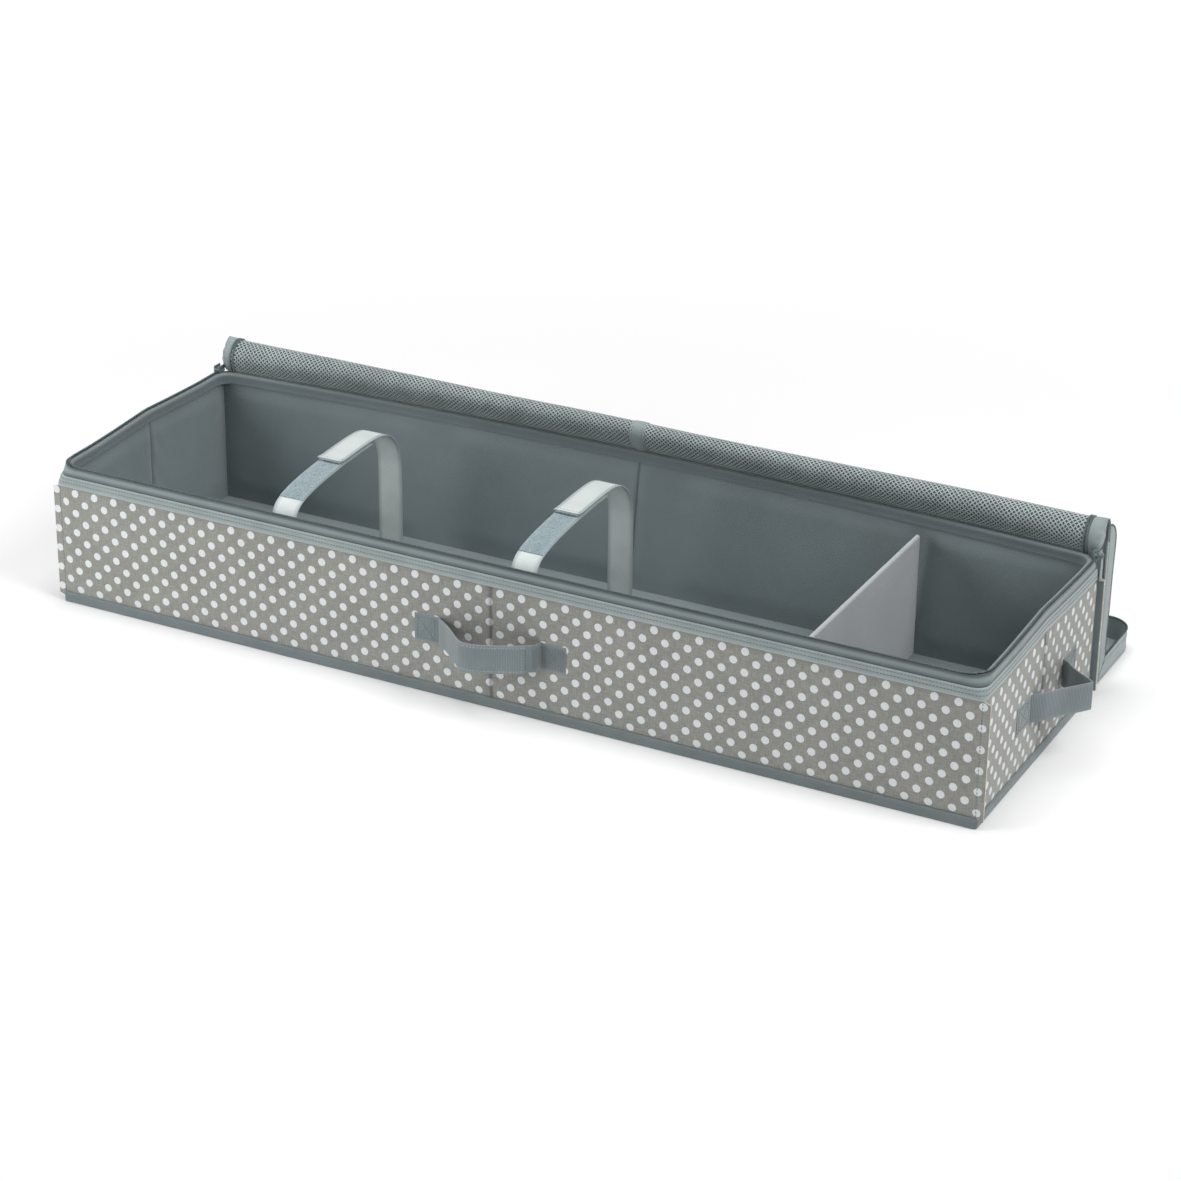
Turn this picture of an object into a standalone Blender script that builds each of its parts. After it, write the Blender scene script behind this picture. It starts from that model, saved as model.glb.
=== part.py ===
"""Fabric gift wrap organizer with a zipped mesh lid, shown open.

Metres, +Z up. The origin is the centre of the body's underside. +X runs along the long side to the
right, and -Y faces the front. The body is a sewn fabric case stiffened by boards, the lid is a net
tray that folds back over the rear wall, and each piece below is one object.
"""

import math

import bmesh
import bpy
from mathutils import Matrix, Vector

# Body
LENGTH = 1.000
DEPTH = 0.300
WALL_HEIGHT = 0.150
REAR_LEAN = 0.020
FOLD_GAP = 0.006
CLEARANCE = 0.0003

# Sheet stock
COVER = 0.0010
BOARD = 0.0025
BASE_BOARD = 0.0030
LINING = 0.0008
TAPE = 0.0008
WEBBING = 0.0014

# Rim tape, base binding and corner seams
TAPE_HEIGHT = 0.021
TAPE_LEDGE = 0.0070
TAPE_CORNER = 0.0015
RIM_CORNER = 0.021
LINING_CORNER = 0.004
LEDGE_CORNER = 0.018
BINDING_HEIGHT = 0.0065
SEAM_WIDTH = 0.0070
SEAM_MARGIN = 0.0015

# Zip
COIL_RADIUS = 0.0013
COIL_INSET = 0.0010
COIL_CORNER = 0.025
COIL_GAP = 0.0024
SLIDER_LENGTH = 0.011
SLIDER_PLATE = 0.0010
SLIDER_BRIDGE = 0.0016
SLIDER_CHANNEL = 0.0046
SLIDER_PARK = 0.0005
BAIL_WIRE = 0.0005
BAIL_REACH = 0.0032
BAIL_HEIGHT = 0.0044
PULL_LENGTH = 0.028
PULL_TOP_WIDTH = 0.0052
PULL_WIDTH = 0.0068
PULL_THICKNESS = 0.0012
PULL_SLOT_WIDTH = 0.0026
PULL_SLOT_LENGTH = 0.0036

# Divider
DIVIDER_X = 0.315
DIVIDER_HEIGHT = 0.135

# Handles
HANDLE_WIDTH = 0.029
HANDLE_STAND_OFF = 0.0115
FRONT_HANDLE_X = -0.0012
FRONT_HANDLE_Z = 0.0695
FRONT_HANDLE_GAP = 0.1115
FRONT_HANDLE_REACH = 0.0365
FRONT_HANDLE_PATCH = 0.027
END_HANDLE_Y = 0.017
END_HANDLE_Z = 0.0670
END_HANDLE_GAP = 0.088
END_HANDLE_REACH = 0.0405
END_HANDLE_PATCH = 0.034

# Straps
STRAP_WIDTH = 0.028
LEFT_STRAP_X = -0.236
RIGHT_STRAP_X = 0.031
STRAP_TAPE = 0.0012
STRAP_PAD = 0.0010
STRAP_CREST = 0.1740
STRAP_FOOT_Y = 0.060
STRAP_END_Y = 0.004
STRAP_TAIL_Y = -0.062
LOOP_PAD_START_Y = -0.130
LOOP_PAD_END_Y = -0.016
HOOK_PAD_LENGTH = 0.040
ANCHOR_LENGTH = 0.030
ANCHOR_DROP = 0.0048
ANCHOR_PIVOT_GAP = 0.0009
FOOT_PIVOT_GAP = 0.0015

# Lid
LID_SETBACK = 0.006
LID_SKIRT = 0.024
LID_CREST = 0.018
LID_FLOOR_GAP = 0.0015
LID_END_INSET = 0.0010
LID_JOINT_GAP = 0.0007
LID_HEM_GAP = 0.0012
LID_CORNER = 0.024
NET = 0.0008
NET_BAR = 0.0030
RIBBON = 0.0008
RIBBON_WIDTH = 0.017
RIBBON_MARGIN = 0.003
CENTRE_RIBBON = 0.020
WINDOW_CORNER = 0.006

# Counts
LONG_CELLS = 16
HIGH_CELLS = 4
CORNER_CELLS = 4
NET_COLUMNS = 20
BACK_ROWS = 4
FRONT_ROWS = 3
SMOOTHING = 3

# Shares along a handle's gap, each with its share of the reach
FRONT_LOOP_SHARES = ((0.25, 0.64), (0.36, 0.93), (0.43, 1.0), (0.54, 0.95), (0.70, 0.74), (0.84, 0.53))
END_LOOP_SHARES = ((0.31, 0.53), (0.47, 0.81), (0.58, 0.99), (0.62, 1.0), (0.71, 0.74), (0.80, 0.46))
LOOP_START_SHARE = 0.130
FRONT_LOOP_END_SHARE = 0.955
END_LOOP_END_SHARE = 0.885
LOOP_FLAT_SHARE = 0.018
SEAM_CUT_SHARE = 0.0025
# Shares along a handle's gap, each with its share of the stand-off
NEAR_STUB_SHARES = ((0.0, 0.0), (0.055, 0.42), (0.10, 0.93))
FRONT_FAR_STUB_SHARES = ((0.982, 0.86), (0.989, 0.45), (1.0, 0.0))
END_FAR_STUB_SHARES = ((0.920, 0.84), (0.952, 0.36), (1.0, 0.0))
# Shares of the way from the front anchor to the strap's end, each with its share of the rise
FRONT_STRAP_SHARES = ((0.045, 0.36), (0.12, 0.58), (0.28, 0.76), (0.50, 0.89), (0.74, 0.97), (1.0, 1.0))
# Shares of the way from the strap's end to its foot, each with its share of the height
REAR_STRAP_SHARES = ((0.30, 0.992), (0.62, 0.955), (0.86, 0.88), (0.975, 0.78), (1.0, 0.66), (1.0, 0.30))

# Colours
DOTTED_CLOTH = (0.26, 0.25, 0.22)
TRIM_GREY = (0.17, 0.22, 0.23)
LINING_GREY = (0.16, 0.19, 0.20)
BOARD_GREY = (0.35, 0.33, 0.30)
DIVIDER_GREY = (0.35, 0.38, 0.40)
STRAP_GREY = (0.60, 0.66, 0.64)
PAD_GREY = (0.27, 0.36, 0.40)
NET_GREY = (0.22, 0.27, 0.27)
METAL_GREY = (0.20, 0.24, 0.25)
SEAM_BEIGE = (0.60, 0.56, 0.48)

# Planes worked out from the stock
HALF_X = LENGTH / 2
HALF_Y = DEPTH / 2
BOARD_OUT = COVER + CLEARANCE
BOARD_IN = BOARD_OUT + BOARD
LINING_OUT = BOARD_IN + CLEARANCE
LINING_IN = LINING_OUT + LINING
BASE_BOARD_TOP = BOARD_OUT + BASE_BOARD
FLOOR_Z = BASE_BOARD_TOP + CLEARANCE + LINING
LEDGE_Z = WALL_HEIGHT + CLEARANCE + TAPE / 2
TAPE_LOW = LEDGE_Z - TAPE_HEIGHT
TAPE_OUTSET = CLEARANCE + CLEARANCE / 2 + TAPE / 2
COIL_Z = LEDGE_Z + TAPE / 2 + CLEARANCE + COIL_RADIUS
LID_COIL_Z = COIL_Z + 2 * COIL_RADIUS + COIL_GAP
LID_Z = LID_COIL_Z + LID_SKIRT
LID_HINGE_Y = HALF_Y + LID_SETBACK
LID_BACK_Y = LID_HINGE_Y + LID_CREST
LID_END_X = HALF_X - COIL_INSET
LID_FRONT_LENGTH = LID_HINGE_Y + HALF_Y - COIL_INSET - LID_CREST - (LID_Z - LID_FLOOR_GAP)
LID_EDGE_Y = LID_BACK_Y + LID_FRONT_LENGTH
NET_HALF_X = LID_END_X - NET / 2 - CLEARANCE
ANCHOR_Y = -HALF_Y + LINING_IN + CLEARANCE + STRAP_TAPE / 2
ANCHOR_TOP = WALL_HEIGHT - ANCHOR_DROP
FRONT_PIVOT_Z = ANCHOR_TOP + ANCHOR_PIVOT_GAP
FOOT_Z = FLOOR_Z + CLEARANCE + STRAP_TAPE / 2
TAIL_RISE = STRAP_TAPE + 2 * STRAP_PAD + 3 * CLEARANCE
SLIDER_Y = HALF_Y - SLIDER_PARK - SLIDER_LENGTH / 2
BRIDGE_Z = COIL_Z + COIL_RADIUS + COIL_GAP / 2
PULL_BAR = (PULL_TOP_WIDTH - PULL_SLOT_WIDTH) / 2


def new_object(name, data, colour, roughness=0.9, metallic=0.0):
    """Puts the data in the part's collection with a material of its own."""
    obj = bpy.data.objects.new(name, data)
    PARTS.objects.link(obj)
    material = bpy.data.materials.new(name)
    material.use_nodes = True
    shader = material.node_tree.nodes["Principled BSDF"]
    shader.inputs["Base Color"].default_value = (*colour, 1.0)
    shader.inputs["Roughness"].default_value = roughness
    shader.inputs["Metallic"].default_value = metallic
    data.materials.append(material)
    return obj


def mesh_object(name, bm, colour, **finish):
    """Closes the bmesh into an object of its own."""
    mesh = bpy.data.meshes.new(name)
    bm.to_mesh(mesh)
    bm.free()
    return new_object(name, mesh, colour, **finish)


def thicken(obj, thickness):
    """Gives an open sheet its thickness, half on each side."""
    solidify = obj.modifiers.new("thickness", "SOLIDIFY")
    solidify.thickness = thickness
    solidify.offset = 0.0
    solidify.use_even_offset = True
    return obj


def hang_on(obj, pivot):
    """Moves the object's origin to the pivot that carries it."""
    obj.parent = pivot
    obj.location = obj.location - pivot.location
    return obj


def pivot_at(name, place):
    """Puts an empty on a joint's axis."""
    pivot = bpy.data.objects.new(name, None)
    pivot.location = place
    pivot.empty_display_size = HANDLE_WIDTH
    PARTS.objects.link(pivot)
    return pivot


def add_grid(bm, cells_u, cells_v, place):
    """Adds a grid whose points go where place(u, v) puts them, with u and v from 0 to 1."""
    made = bmesh.ops.create_grid(bm, x_segments=cells_u, y_segments=cells_v, size=0.5)
    for vert in made["verts"]:
        vert.co = place(vert.co.x + 0.5, vert.co.y + 0.5)
    return made["verts"]


def bent_sheet(name, cells_u, cells_v, place, thickness, colour, closed=False):
    """Makes a bent panel: a mapped grid with one way of splitting its cells, then its thickness."""
    bm = bmesh.new()
    add_grid(bm, cells_u, cells_v, place)
    if closed:
        bmesh.ops.remove_doubles(bm, verts=bm.verts[:], dist=CLEARANCE / 10)
    bmesh.ops.triangulate(bm, faces=bm.faces[:], quad_method="FIXED")
    return thicken(mesh_object(name, bm, colour), thickness)


def box(name, low, high, colour):
    """Makes a flat board or panel between two corners."""
    bm = bmesh.new()
    size = Vector(high) - Vector(low)
    centre = (Vector(high) + Vector(low)) / 2
    matrix = Matrix.Translation(centre) @ Matrix.Diagonal((*size, 1.0))
    bmesh.ops.create_cube(bm, size=1.0, matrix=matrix)
    return mesh_object(name, bm, colour)


def flat_outline(name, outlines, thickness, colour, **finish):
    """Makes a flat piece from closed outlines in its own XY plane. Inner outlines are holes."""
    curve = bpy.data.curves.new(name, "CURVE")
    curve.dimensions = "2D"
    curve.fill_mode = "BOTH"
    curve.extrude = thickness / 2
    for outline in outlines:
        spline = curve.splines.new("POLY")
        spline.points.add(len(outline) - 1)
        for point, (x, y) in zip(spline.points, outline):
            point.co = (x, y, 0.0, 1.0)
        spline.use_cyclic_u = True
    return new_object(name, curve, colour, **finish)


def tube(name, points, radius, colour, **finish):
    """Makes a round wire along the points."""
    curve = bpy.data.curves.new(name, "CURVE")
    curve.dimensions = "3D"
    curve.bevel_depth = radius
    curve.bevel_resolution = 1
    curve.use_fill_caps = True
    spline = curve.splines.new("POLY")
    spline.points.add(len(points) - 1)
    for point, place in zip(spline.points, points):
        point.co = (*place, 1.0)
    return new_object(name, curve, colour, **finish)


def as_mesh(obj):
    """Swaps a curve object for a mesh of the same shape, with its caps welded."""
    bpy.context.view_layer.update()
    graph = bpy.context.evaluated_depsgraph_get()
    mesh = bpy.data.meshes.new_from_object(obj.evaluated_get(graph))
    bm = bmesh.new()
    bm.from_mesh(mesh)
    bmesh.ops.remove_doubles(bm, verts=bm.verts[:], dist=CLEARANCE / 30)
    bm.to_mesh(mesh)
    bm.free()
    name = obj.name
    place = obj.matrix_world.copy()
    bpy.data.objects.remove(obj)
    made = bpy.data.objects.new(name, mesh)
    made.matrix_world = place
    PARTS.objects.link(made)
    return made


def join(obj, other):
    """Joins another solid to the object with a Boolean, and keeps that solid as a guide."""
    PARTS.objects.unlink(other)
    GUIDES.objects.link(other)
    other.hide_render = True
    other.display_type = "WIRE"
    union = obj.modifiers.new("join", "BOOLEAN")
    union.operation = "UNION"
    union.object = other
    return obj


def smooth_line(points, samples):
    """Draws a smooth line through the points, with a few samples between each pair."""
    ends = [2 * points[0] - points[1], *points, 2 * points[-1] - points[-2]]
    line = []
    for a, b, c, d in zip(ends, ends[1:], ends[2:], ends[3:]):
        for step in range(samples):
            t = step / samples
            square = (2 * a - 5 * b + 4 * c - d) * t**2
            cube = (3 * b - a - 3 * c + d) * t**3
            line.append(((c - a) * t + square + cube) / 2 + b)
    return [*line, points[-1]]


def ribbon(name, line, across, thickness, colour):
    """Makes a flat ribbon whose one edge follows the line and whose width is across."""
    cells = len(line) - 1

    def place(u, v):
        return line[round(u * cells)] + across * v

    return bent_sheet(name, cells, 1, place, thickness, colour)


def arc(centre, radius, start, end, cells):
    """Lists the points of an arc in the XY plane, with its angles in quarter turns."""
    points = []
    for step in range(cells + 1):
        angle = (start + (end - start) * step / cells) * math.pi / 2
        points.append((centre[0] + radius * math.cos(angle), centre[1] + radius * math.sin(angle)))
    return points


def rounded_rectangle(low, high, radii, cells):
    """Lists a rectangle's outline anticlockwise from its lower left corner, each corner rounded."""
    corners = ((low[0], low[1], 2), (high[0], low[1], 3), (high[0], high[1], 0), (low[0], high[1], 1))
    outline = []
    for (x, y, turn), radius in zip(corners, radii):
        if radius == 0:
            outline.append((x, y))
            continue
        centre = (x + math.copysign(radius, -x + (low[0] + high[0]) / 2),
                  y + math.copysign(radius, -y + (low[1] + high[1]) / 2))
        outline.extend(arc(centre, radius, turn, turn + 1, cells))
    return outline


def lean(x, z):
    """Gives how far the rear wall is bowed back at this place: most at mid length, none at the corners."""
    return REAR_LEAN * (1 - (x / HALF_X) ** 2) * z / WALL_HEIGHT


def wall_row(share, low, high):
    """Gives the height of a wall sheet's row: even ones up to the tape's lower edge, then the top."""
    step = round(share * HIGH_CELLS)
    return high if step == HIGH_CELLS else low + (TAPE_LOW - low) * step / (HIGH_CELLS - 1)


def rear_panel(name, span, depth, rise, thickness, colour, clip, cells):
    """Makes a bowed sheet of the rear wall. The depth is its middle plane's, from the outer face."""

    def place(u, v):
        z = wall_row(v, *rise)
        ends = [x - math.copysign(clip, x) if v == 1 and abs(x) > HALF_X / 2 else x for x in span]
        x = ends[0] + (ends[1] - ends[0]) * u
        return Vector((x, HALF_Y - depth + lean(x, z), z))

    return bent_sheet(name, cells, HIGH_CELLS, place, thickness, colour)


def flat_panel(name, span, depth, rise, thickness, colour, clips, turn):
    """Makes a flat panel of one wall, with its top corners clipped where the rim turns the corner.

    The span runs along the wall, the depth is the outer face's place, and the turn is in quarters about Z.
    """
    shoulder = [TAPE_LOW if clip else rise[1] for clip in clips]
    outline = [(span[0], rise[0]), (span[1], rise[0]), (span[1], shoulder[1])]
    if clips[1]:
        outline.append((span[1] - clips[1], rise[1]))
    if clips[0]:
        outline.append((span[0] + clips[0], rise[1]))
    outline.append((span[0], shoulder[0]))
    panel = flat_outline(name, [outline], thickness, colour)
    panel.rotation_euler = (math.pi / 2, 0, turn * math.pi / 2)
    middle = -depth + thickness / 2
    angle = turn * math.pi / 2
    panel.location = (-middle * math.sin(angle), middle * math.cos(angle), 0)
    return panel


def covers():
    """Makes the dotted cloth panels of the four walls and the plain cloth under the base."""
    rise = (BOARD_OUT, WALL_HEIGHT)
    clips = (RIM_CORNER, RIM_CORNER)
    flat_panel("front_cover", (-HALF_X, HALF_X), HALF_Y, rise, COVER, DOTTED_CLOTH, clips, 0)
    rear_panel("rear_cover", (-HALF_X, HALF_X), COVER / 2, rise, COVER, DOTTED_CLOTH, RIM_CORNER, LONG_CELLS)
    inner = HALF_Y - BOARD_OUT
    for name, turn in (("right_cover", 1), ("left_cover", 3)):
        flat_panel(name, (-inner, inner), HALF_X, rise, COVER, DOTTED_CLOTH, clips, turn)
    box("base_cover", (-HALF_X, -HALF_Y, 0), (HALF_X, HALF_Y, COVER), TRIM_GREY)


def boards():
    """Makes the stiffening boards: two for each long wall and the base, and one creased pair in each end."""
    rise = (BOARD_OUT, WALL_HEIGHT - CLEARANCE)
    clip = RIM_CORNER / 2
    for name, side in (("left", -1), ("right", 1)):
        outer = side * (HALF_X - BOARD_OUT)
        seam = side * FOLD_GAP / 2
        span = (min(outer, seam), max(outer, seam))
        clips = (clip, 0) if side < 0 else (0, clip)
        front = HALF_Y - BOARD_OUT
        flat_panel(f"front_board_{name}", span, front, rise, BOARD, BOARD_GREY, clips, 0)
        middle = (BOARD_OUT + BOARD_IN) / 2
        rear_panel(f"rear_board_{name}", span, middle, rise, BOARD, BOARD_GREY, clip, LONG_CELLS // 2)
        floor_x = side * (HALF_X - LINING_OUT)
        floor = (min(floor_x, seam), max(floor_x, seam))
        floor_y = HALF_Y - LINING_OUT
        base = (BOARD_OUT, BASE_BOARD_TOP)
        box(f"base_board_{name}", (floor[0], -floor_y, base[0]), (floor[1], floor_y, base[1]), BOARD_GREY)
        for half, sign in (("front", -1), ("rear", 1)):
            along = sign * side
            ends = sorted((along * floor_y, along * FOLD_GAP / 2))
            clips = (clip, 0) if along < 0 else (0, clip)
            end_x = HALF_X - BOARD_OUT
            turn = 1 if side > 0 else 3
            flat_panel(f"{name}_board_{half}", ends, end_x, rise, BOARD, BOARD_GREY, clips, turn)


def lining():
    """Makes the lining: an open tray inside the boards that follows the bowed rear wall."""
    middle = (LINING_OUT + LINING_IN) / 2
    x_in = HALF_X - middle
    y_in = HALF_Y - middle
    low = FLOOR_Z - LINING / 2
    high = WALL_HEIGHT - CLEARANCE

    def spot(x, y, z):
        if z == high and x_in - abs(x) < CLEARANCE and y_in - abs(y) < CLEARANCE:
            x -= math.copysign(LINING_CORNER, x)
            y -= math.copysign(LINING_CORNER, y)
        return Vector((x, y + (lean(x, z) - lean(x, low) if y > 0 else 0), z))

    def span(half, share):
        return half * (2 * share - 1)

    def rise(share):
        return wall_row(share, low, high)

    bm = bmesh.new()
    add_grid(bm, LONG_CELLS, 1, lambda u, v: spot(span(x_in, u), span(y_in, v), low))
    add_grid(bm, LONG_CELLS, HIGH_CELLS, lambda u, v: spot(span(x_in, u), -y_in, rise(v)))
    add_grid(bm, LONG_CELLS, HIGH_CELLS, lambda u, v: spot(span(x_in, u), y_in, rise(v)))
    add_grid(bm, 1, HIGH_CELLS, lambda u, v: spot(-x_in, span(y_in, u), rise(v)))
    add_grid(bm, 1, HIGH_CELLS, lambda u, v: spot(x_in, span(y_in, u), rise(v)))
    bmesh.ops.triangulate(bm, faces=bm.faces[:], quad_method="FIXED")
    bmesh.ops.remove_doubles(bm, verts=bm.verts[:], dist=CLEARANCE / 10)
    bmesh.ops.recalc_face_normals(bm, faces=bm.faces[:])
    thicken(mesh_object("lining", bm, LINING_GREY), LINING)


def ring_point(share, outset, radius, z):
    """Gives a point of a rounded loop around the walls. Shares start at the middle of the front."""
    x = HALF_X + outset - radius
    y = HALF_Y + outset - radius
    quarter = CORNER_CELLS
    legs = [(LONG_CELLS // 2, (0, -y - radius), (x, -y - radius)), (quarter, (x, -y), 3),
            (1, (x + radius, -y), (x + radius, y)), (quarter, (x, y), 0),
            (LONG_CELLS, (x, y + radius), (-x, y + radius)), (quarter, (-x, y), 1),
            (1, (-x - radius, y), (-x - radius, -y)), (quarter, (-x, -y), 2),
            (LONG_CELLS // 2, (-x, -y - radius), (0, -y - radius))]
    step = round(share * RING_CELLS)
    for cells, start, end in legs:
        if step > cells:
            step -= cells
            continue
        if isinstance(end, int):
            place = arc(start, radius, end, end + 1, cells)[step]
        else:
            place = Vector(start).lerp(Vector(end), step / cells)
        break
    return Vector((place[0], place[1] + (lean(place[0], z) if place[1] > 0 else 0), z))


RING_CELLS = 2 * LONG_CELLS + 4 * CORNER_CELLS + 2


def rim_tape():
    """Makes the tape around the top: a band on the covers that turns in over the wall as a ledge."""
    rings = ((TAPE_OUTSET, TAPE_CORNER, TAPE_LOW), (TAPE_OUTSET, RIM_CORNER, LEDGE_Z),
             (-TAPE_LEDGE, LEDGE_CORNER, LEDGE_Z))
    bent_sheet("rim_tape", RING_CELLS, len(rings) - 1,
               lambda u, v: ring_point(u, *rings[round(v * (len(rings) - 1))]), TAPE, TRIM_GREY, closed=True)


def base_binding():
    """Makes the narrow binding that is sewn around the bottom edge."""
    rise = (CLEARANCE, BINDING_HEIGHT)
    bent_sheet("base_binding", RING_CELLS, 1,
               lambda u, v: ring_point(u, TAPE_OUTSET, TAPE_CORNER, rise[round(v)]), TAPE, TRIM_GREY, closed=True)


def corner_seams():
    """Makes the raw seam edges that stand out sideways at the four corners, between binding and tape."""
    low = BINDING_HEIGHT + SEAM_MARGIN
    high = TAPE_LOW - SEAM_MARGIN
    for end, side in (("left", -1), ("right", 1)):
        x = side * (HALF_X + CLEARANCE)
        outer = x + side * SEAM_WIDTH
        trimmed = x + side * (SEAM_WIDTH - SEAM_MARGIN)
        outline = ((x, low), (trimmed, low), (outer, low + SEAM_WIDTH), (outer, high - SEAM_WIDTH),
                   (trimmed, high), (x, high))
        for face, sign in (("front", -1), ("rear", 1)):
            name = f"corner_seam_{face}_{end}"
            seam = flat_outline(name, [outline], 2 * COVER, SEAM_BEIGE)
            seam.rotation_euler.x = math.pi / 2
            seam.location.y = sign * (HALF_Y - COVER)


def rim_coil():
    """Makes the body's half of the zip coil, from one rear corner around the front to the other."""
    x = LID_END_X - COIL_CORNER
    y = COIL_CORNER - LID_END_X + HALF_X - HALF_Y
    left = arc((-x, y), COIL_CORNER, 2, 3, CORNER_CELLS)
    right = arc((x, y), COIL_CORNER, 3, 4, CORNER_CELLS)
    rear = HALF_Y - SEAM_MARGIN
    plan = [(-LID_END_X, rear), *left, *right, (LID_END_X, rear)]
    tube("rim_zip_coil", [(px, py, COIL_Z) for px, py in plan], COIL_RADIUS, TRIM_GREY)


def divider():
    """Makes the divider between rolls and accessories: a cloth sleeve folded over a board."""
    half = BOARD / 2 + CLEARANCE + LINING / 2
    y_in = HALF_Y - LINING_IN - CLEARANCE
    low = FLOOR_Z + CLEARANCE
    top = DIVIDER_HEIGHT - LINING / 2
    fold = ((-half, low), (-half, top), (half, top), (half, low))

    def place(u, v):
        x, z = fold[round(u * (len(fold) - 1))]
        return Vector((DIVIDER_X + x, y_in * (2 * v - 1), z))

    bent_sheet("divider_cover", len(fold) - 1, 1, place, LINING, DIVIDER_GREY)
    board_top = top - LINING / 2 - CLEARANCE
    box("divider_board", (DIVIDER_X - BOARD / 2, -y_in, low), (DIVIDER_X + BOARD / 2, y_in, board_top), BOARD_GREY)


def handle(name, ends, base, along, out, gap, reach, patch, shares, end_share, far_shares):
    """Makes one webbing handle: the loop that flexes, and the sewn patch and stub at each of its ends."""
    flat = CLEARANCE + WEBBING / 2
    across = Vector((0, 0, HANDLE_WIDTH))

    def spot(share, depth):
        return base - across / 2 + along * gap * (share - 0.5) + out * (flat + depth)

    stand = HANDLE_STAND_OFF - flat
    start = LOOP_START_SHARE
    near = [spot(share, part * stand) for share, part in NEAR_STUB_SHARES]
    near.append(spot(start - LOOP_FLAT_SHARE / 2, stand))
    near_line = [spot(0, 0) - along * patch, *smooth_line(near, SMOOTHING), spot(start, stand)]
    ribbon(f"{name}_{ends[0]}_end", near_line, across, WEBBING, TRIM_GREY)
    far = [spot(share, part * stand) for share, part in far_shares]
    far.insert(0, spot(end_share + LOOP_FLAT_SHARE / 2, stand))
    far_line = [spot(end_share, stand), *smooth_line(far, SMOOTHING), spot(1, 0) + along * patch]
    ribbon(f"{name}_{ends[1]}_end", far_line, across, WEBBING, TRIM_GREY)
    loop = [spot(share, part * reach) for share, part in shares]
    loop.insert(0, spot(start + SEAM_CUT_SHARE + LOOP_FLAT_SHARE, stand))
    loop.append(spot(end_share - SEAM_CUT_SHARE - LOOP_FLAT_SHARE, stand))
    first = spot(start + SEAM_CUT_SHARE, stand)
    last = spot(end_share - SEAM_CUT_SHARE, stand)
    loop_line = [first, *smooth_line(loop, SMOOTHING), last]
    pivot = pivot_at(f"{name}_pivot", base + out * flat)
    hang_on(ribbon(f"{name}_loop", loop_line, across, WEBBING, TRIM_GREY), pivot)


def handles():
    """Makes the front handle and one handle on each end."""
    front = Vector((FRONT_HANDLE_X, -HALF_Y, FRONT_HANDLE_Z))
    handle("front_handle", ("left", "right"), front, Vector((1, 0, 0)), Vector((0, -1, 0)), FRONT_HANDLE_GAP,
           FRONT_HANDLE_REACH, FRONT_HANDLE_PATCH, FRONT_LOOP_SHARES, FRONT_LOOP_END_SHARE, FRONT_FAR_STUB_SHARES)
    for name, side in (("left_handle", -1), ("right_handle", 1)):
        base = Vector((side * HALF_X, END_HANDLE_Y, END_HANDLE_Z))
        handle(name, ("front", "rear"), base, Vector((0, 1, 0)), Vector((side, 0, 0)), END_HANDLE_GAP,
               END_HANDLE_REACH, END_HANDLE_PATCH, END_LOOP_SHARES, END_LOOP_END_SHARE, END_FAR_STUB_SHARES)


def front_strap_line(x):
    """Lists the middle line of a strap's front half, from its pivot at the rim to its free end."""
    start = Vector((x, ANCHOR_Y, FRONT_PIVOT_Z))
    way = Vector((0, STRAP_END_Y - ANCHOR_Y, 0))
    rise = Vector((0, 0, STRAP_CREST - FRONT_PIVOT_Z))
    points = [start + way * share + rise * part for share, part in FRONT_STRAP_SHARES]
    return smooth_line([start, *points], SMOOTHING)


def rear_strap_line(x):
    """Lists the middle line of a strap's rear half, from its foot up and over to its free tail."""
    top = STRAP_CREST + TAIL_RISE
    way = STRAP_FOOT_Y - STRAP_END_Y
    points = [Vector((x, STRAP_END_Y + way * share, top * part)) for share, part in REAR_STRAP_SHARES]
    leg = [Vector((x, STRAP_FOOT_Y, FOOT_Z)), *reversed(points)]
    over = [spot + Vector((0, 0, TAIL_RISE)) for spot in reversed(front_strap_line(x))]
    tail = [spot for spot in over if STRAP_TAIL_Y <= spot.y < STRAP_END_Y]
    return smooth_line([*leg, *tail], 2)


def pad_line(line, low_y, high_y, rise):
    """Lists the part of a strap's line between two places, lifted by the pad's own height."""
    return [spot + Vector((0, 0, rise)) for spot in line if low_y <= spot.y <= high_y]


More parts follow.
